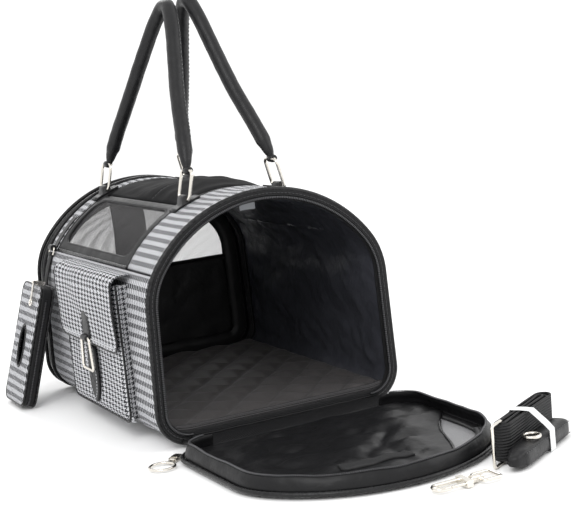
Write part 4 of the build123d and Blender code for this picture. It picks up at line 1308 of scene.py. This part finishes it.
lining_ring += [[tuple(Vector(p) + P_OUT * -1.0) for p in ring] for ring in reversed(lining_ring)]
loft("pouch_slot_lining", lining_ring, LINING, "pouch")
oval = [slot_at(2 * math.pi * k / 44, 19.4) for k in range(44)]
rod("pouch_slot_piping", oval, 1.9, PIPING, "pouch", sides=8, closed=True)
coil = []
for k, (a, d) in enumerate(densify(loop[:len(loop) // 2], 2.2)):
    p = pouch_at(a, PDROP + d - (0.9 if d < 20 else 0), 9.5)
    coil.append((p, Vector((0, 1, 0)) if d < 20 else P_DOWN, P_OUT, P_OUT.cross(P_DOWN)))
bits("pouch_zip_coil", coil, (1.3, 3.0, 2.0), GUNMETAL, "pouch")
belt_rings, belt_weave = [], []
for d in steps(9, 53, 2.5):
    bow = 1.4 * math.sin(math.pi * (d - 9) / 44)
    ring = []
    for a, o in ((-6, -0.9), (-6, 0.9), (-3, 1.15), (3, 1.15), (6, 0.9), (6, -0.9)):
        ring.append(tuple(pouch_at(a, d, o + bow)))
        belt_weave.append((a, d))
    belt_rings.append(ring)
hanger = loft("pouch_hanging_strap", belt_rings, WEBBING, "pouch", weave=belt_weave)
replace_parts(hanger, "pouch_strap")
rod("pouch_strap_fold", [pouch_at(a, 9, 0) for a in steps(-5.3, 5.3, 1.3)], 3.1, WEBBING, "pouch",
    sides=14)

# ---------------------------------------------------------------- folded shoulder strap

BUNDLE_X, BUNDLE_Y, BUNDLE_TURN = 141.0, -498.0, math.radians(31.6)


def bundle_at(u, w, z):
    """A point of the folded strap: u along it, w away from its pad."""
    c, s = math.cos(BUNDLE_TURN), math.sin(BUNDLE_TURN)
    return Vector((BUNDLE_X + u * c - w * s, BUNDLE_Y + u * s + w * c, z))


WEB_LOW = 4.2
web_layers = []
for k, (left, right_, near, far, lift) in enumerate(((-54, 74, 3.2, 19.0, 0.0), (-48, 69, 5.8, 16.6, -1.6),
                                                     (-50, 62, 8.2, 14.4, 0.9))):
    r0 = (far - near) / 2
    mid, turn_w = (near + far) / 2, r0 * 0.35
    control = [(u, near + 0.7 * math.sin(u / 17 + k)) for u in steps(left + r0, right_ - r0, 14)]
    control += [(right_ - r0 * 0.3, near + turn_w), (right_, mid), (right_ - r0 * 0.3, far - turn_w)]
    control += [(u, far + 0.7 * math.sin(u / 21 + 2 * k)) for u in steps(right_ - r0, left + r0, 14)]
    control += [(left + r0 * 0.3, far - turn_w), (left, mid), (left + r0 * 0.3, near + turn_w)]
    line = smooth_line([(u, w, 0) for u, w in control], 3.0, closed=True)
    rings, weave = [], []
    total_len = 0.0
    for i, p in enumerate(line):
        q = line[(i + 1) % len(line)]
        t = (q - p).normalized()
        n = Vector((t.y, -t.x, 0))
        total_len += (q - p).length
        ring = []
        lean_out = 1.0 * math.sin(total_len / 60 + k)
        for z, o in ((0, -0.6), (0.5, -0.75), (19, -0.75), (37.5, -0.75), (38, -0.6), (38, 0.6), (37.5, 0.75),
                     (19, 0.75), (0.5, 0.75), (0, 0.6)):
            off = n * (o + lean_out * (z - 19) / 38)
            ring.append(tuple(bundle_at(p.x + off.x, p.y + off.y, max(0.6, WEB_LOW + lift + z))))
            weave.append((z, total_len))
        rings.append(ring)
    web_layers.append(loft(f"strap_webbing_{k}", rings, WEBBING, "shoulder_strap", loop=True,
                           weave=weave))
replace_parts(web_layers[0], "shoulder_webbing")

rings, weave = [], []
for i, u in enumerate(steps(-76, 66, 4)):
    end = min(1.0, 0.35 + 0.65 * min(u + 76, 66 - u) / 16) ** 0.8
    half_w, half_h = 11.0 * end, 10.2 * end
    ring = []
    for j in range(28):
        a = 2 * math.pi * j / 28
        c, sn = math.cos(a), math.sin(a)
        x = half_w * math.copysign(abs(c) ** 0.62, c)
        z = half_h * math.copysign(abs(sn) ** 0.62, sn)
        puff = 1.0 + 0.05 * noise.noise(Vector((u / 17, c * 1.4, sn * 1.4)))
        ring.append(tuple(bundle_at(u, -11 + x * puff, 11.2 + z * puff)))
        weave.append((j, u))
    rings.append(ring)
shoulder_pad = loft("leather_shoulder_pad", rings, LEATHER, "shoulder_strap", weave=weave)
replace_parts(shoulder_pad, "shoulder_pad")
for z, tag in ((17.6, "upper"), (5.2, "lower")):
    run = [bundle_at(u, -21.4, z) for u in steps(-62, 54, 3)]
    outward = bundle_at(0, -1, 0) - bundle_at(0, 0, 0)
    stitches(f"pad_stitching_{tag}", run, outward, "shoulder_strap")

paper_loop = [(-23, 1.2), (-23, 12), (-23, 23.6), (-17.5, 29.5), (-9, 37), (-1.5, 43.4), (8, 43.7),
              (20, 43.2), (20.8, 41), (20.8, 22), (20.6, 1.0), (8, 0.5), (-10, 0.5), (-22, 0.5)]
rings, weave = [], []
for i, (w, z) in enumerate(densify(paper_loop, 4)):
    ring = []
    cw, cz = -1, 20
    d = math.hypot(w - cw, z - cz)
    for u, o in ((-4, 0), (2, 0), (9, 0), (9, -0.4), (2, -0.4), (-4, -0.4)):
        k = (d + o) / d
        crinkle = wrinkle(u, w, z, 9, 0.35)
        ring.append(tuple(bundle_at(u + crinkle, cw + (w - cw) * k, max(0.15, cz + (z - cz) * k))))
        weave.append((u, i * 4))
    rings.append(ring)
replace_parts(loft("paper_wrap", rings, PAPER, "shoulder_strap", loop=True, weave=weave), "paper_band")

# ---------------------------------------------------------------- finishes of the CAD nodes that stay

keep = {
    "base_board": BOARD, "feet": RUBBER, "pouch_tab": LEATHER,
    **dict.fromkeys(("front_edge_piping", "rear_edge_piping", "window_piping", "front_door_piping",
                     "rear_door_piping"), PIPING),
    **dict.fromkeys(("flap_loop", "left_handle_rings", "right_handle_rings", "front_zip_slider",
                     "front_zip_pull", "rear_zip_slider", "rear_zip_pull", "pouch_ring", "pouch_zip_slider",
                     "pouch_zip_pull", "strap_links", "front_snap_hook", "rear_snap_hook",
                     "front_hook_gate", "rear_hook_gate"), CHROME),
}
for node, mat in keep.items():
    data = nodes[node].data
    data.materials.clear()
    data.materials.append(mat)

boxes = [[list(corner) for corner in box] for box in (cad_box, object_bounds())]
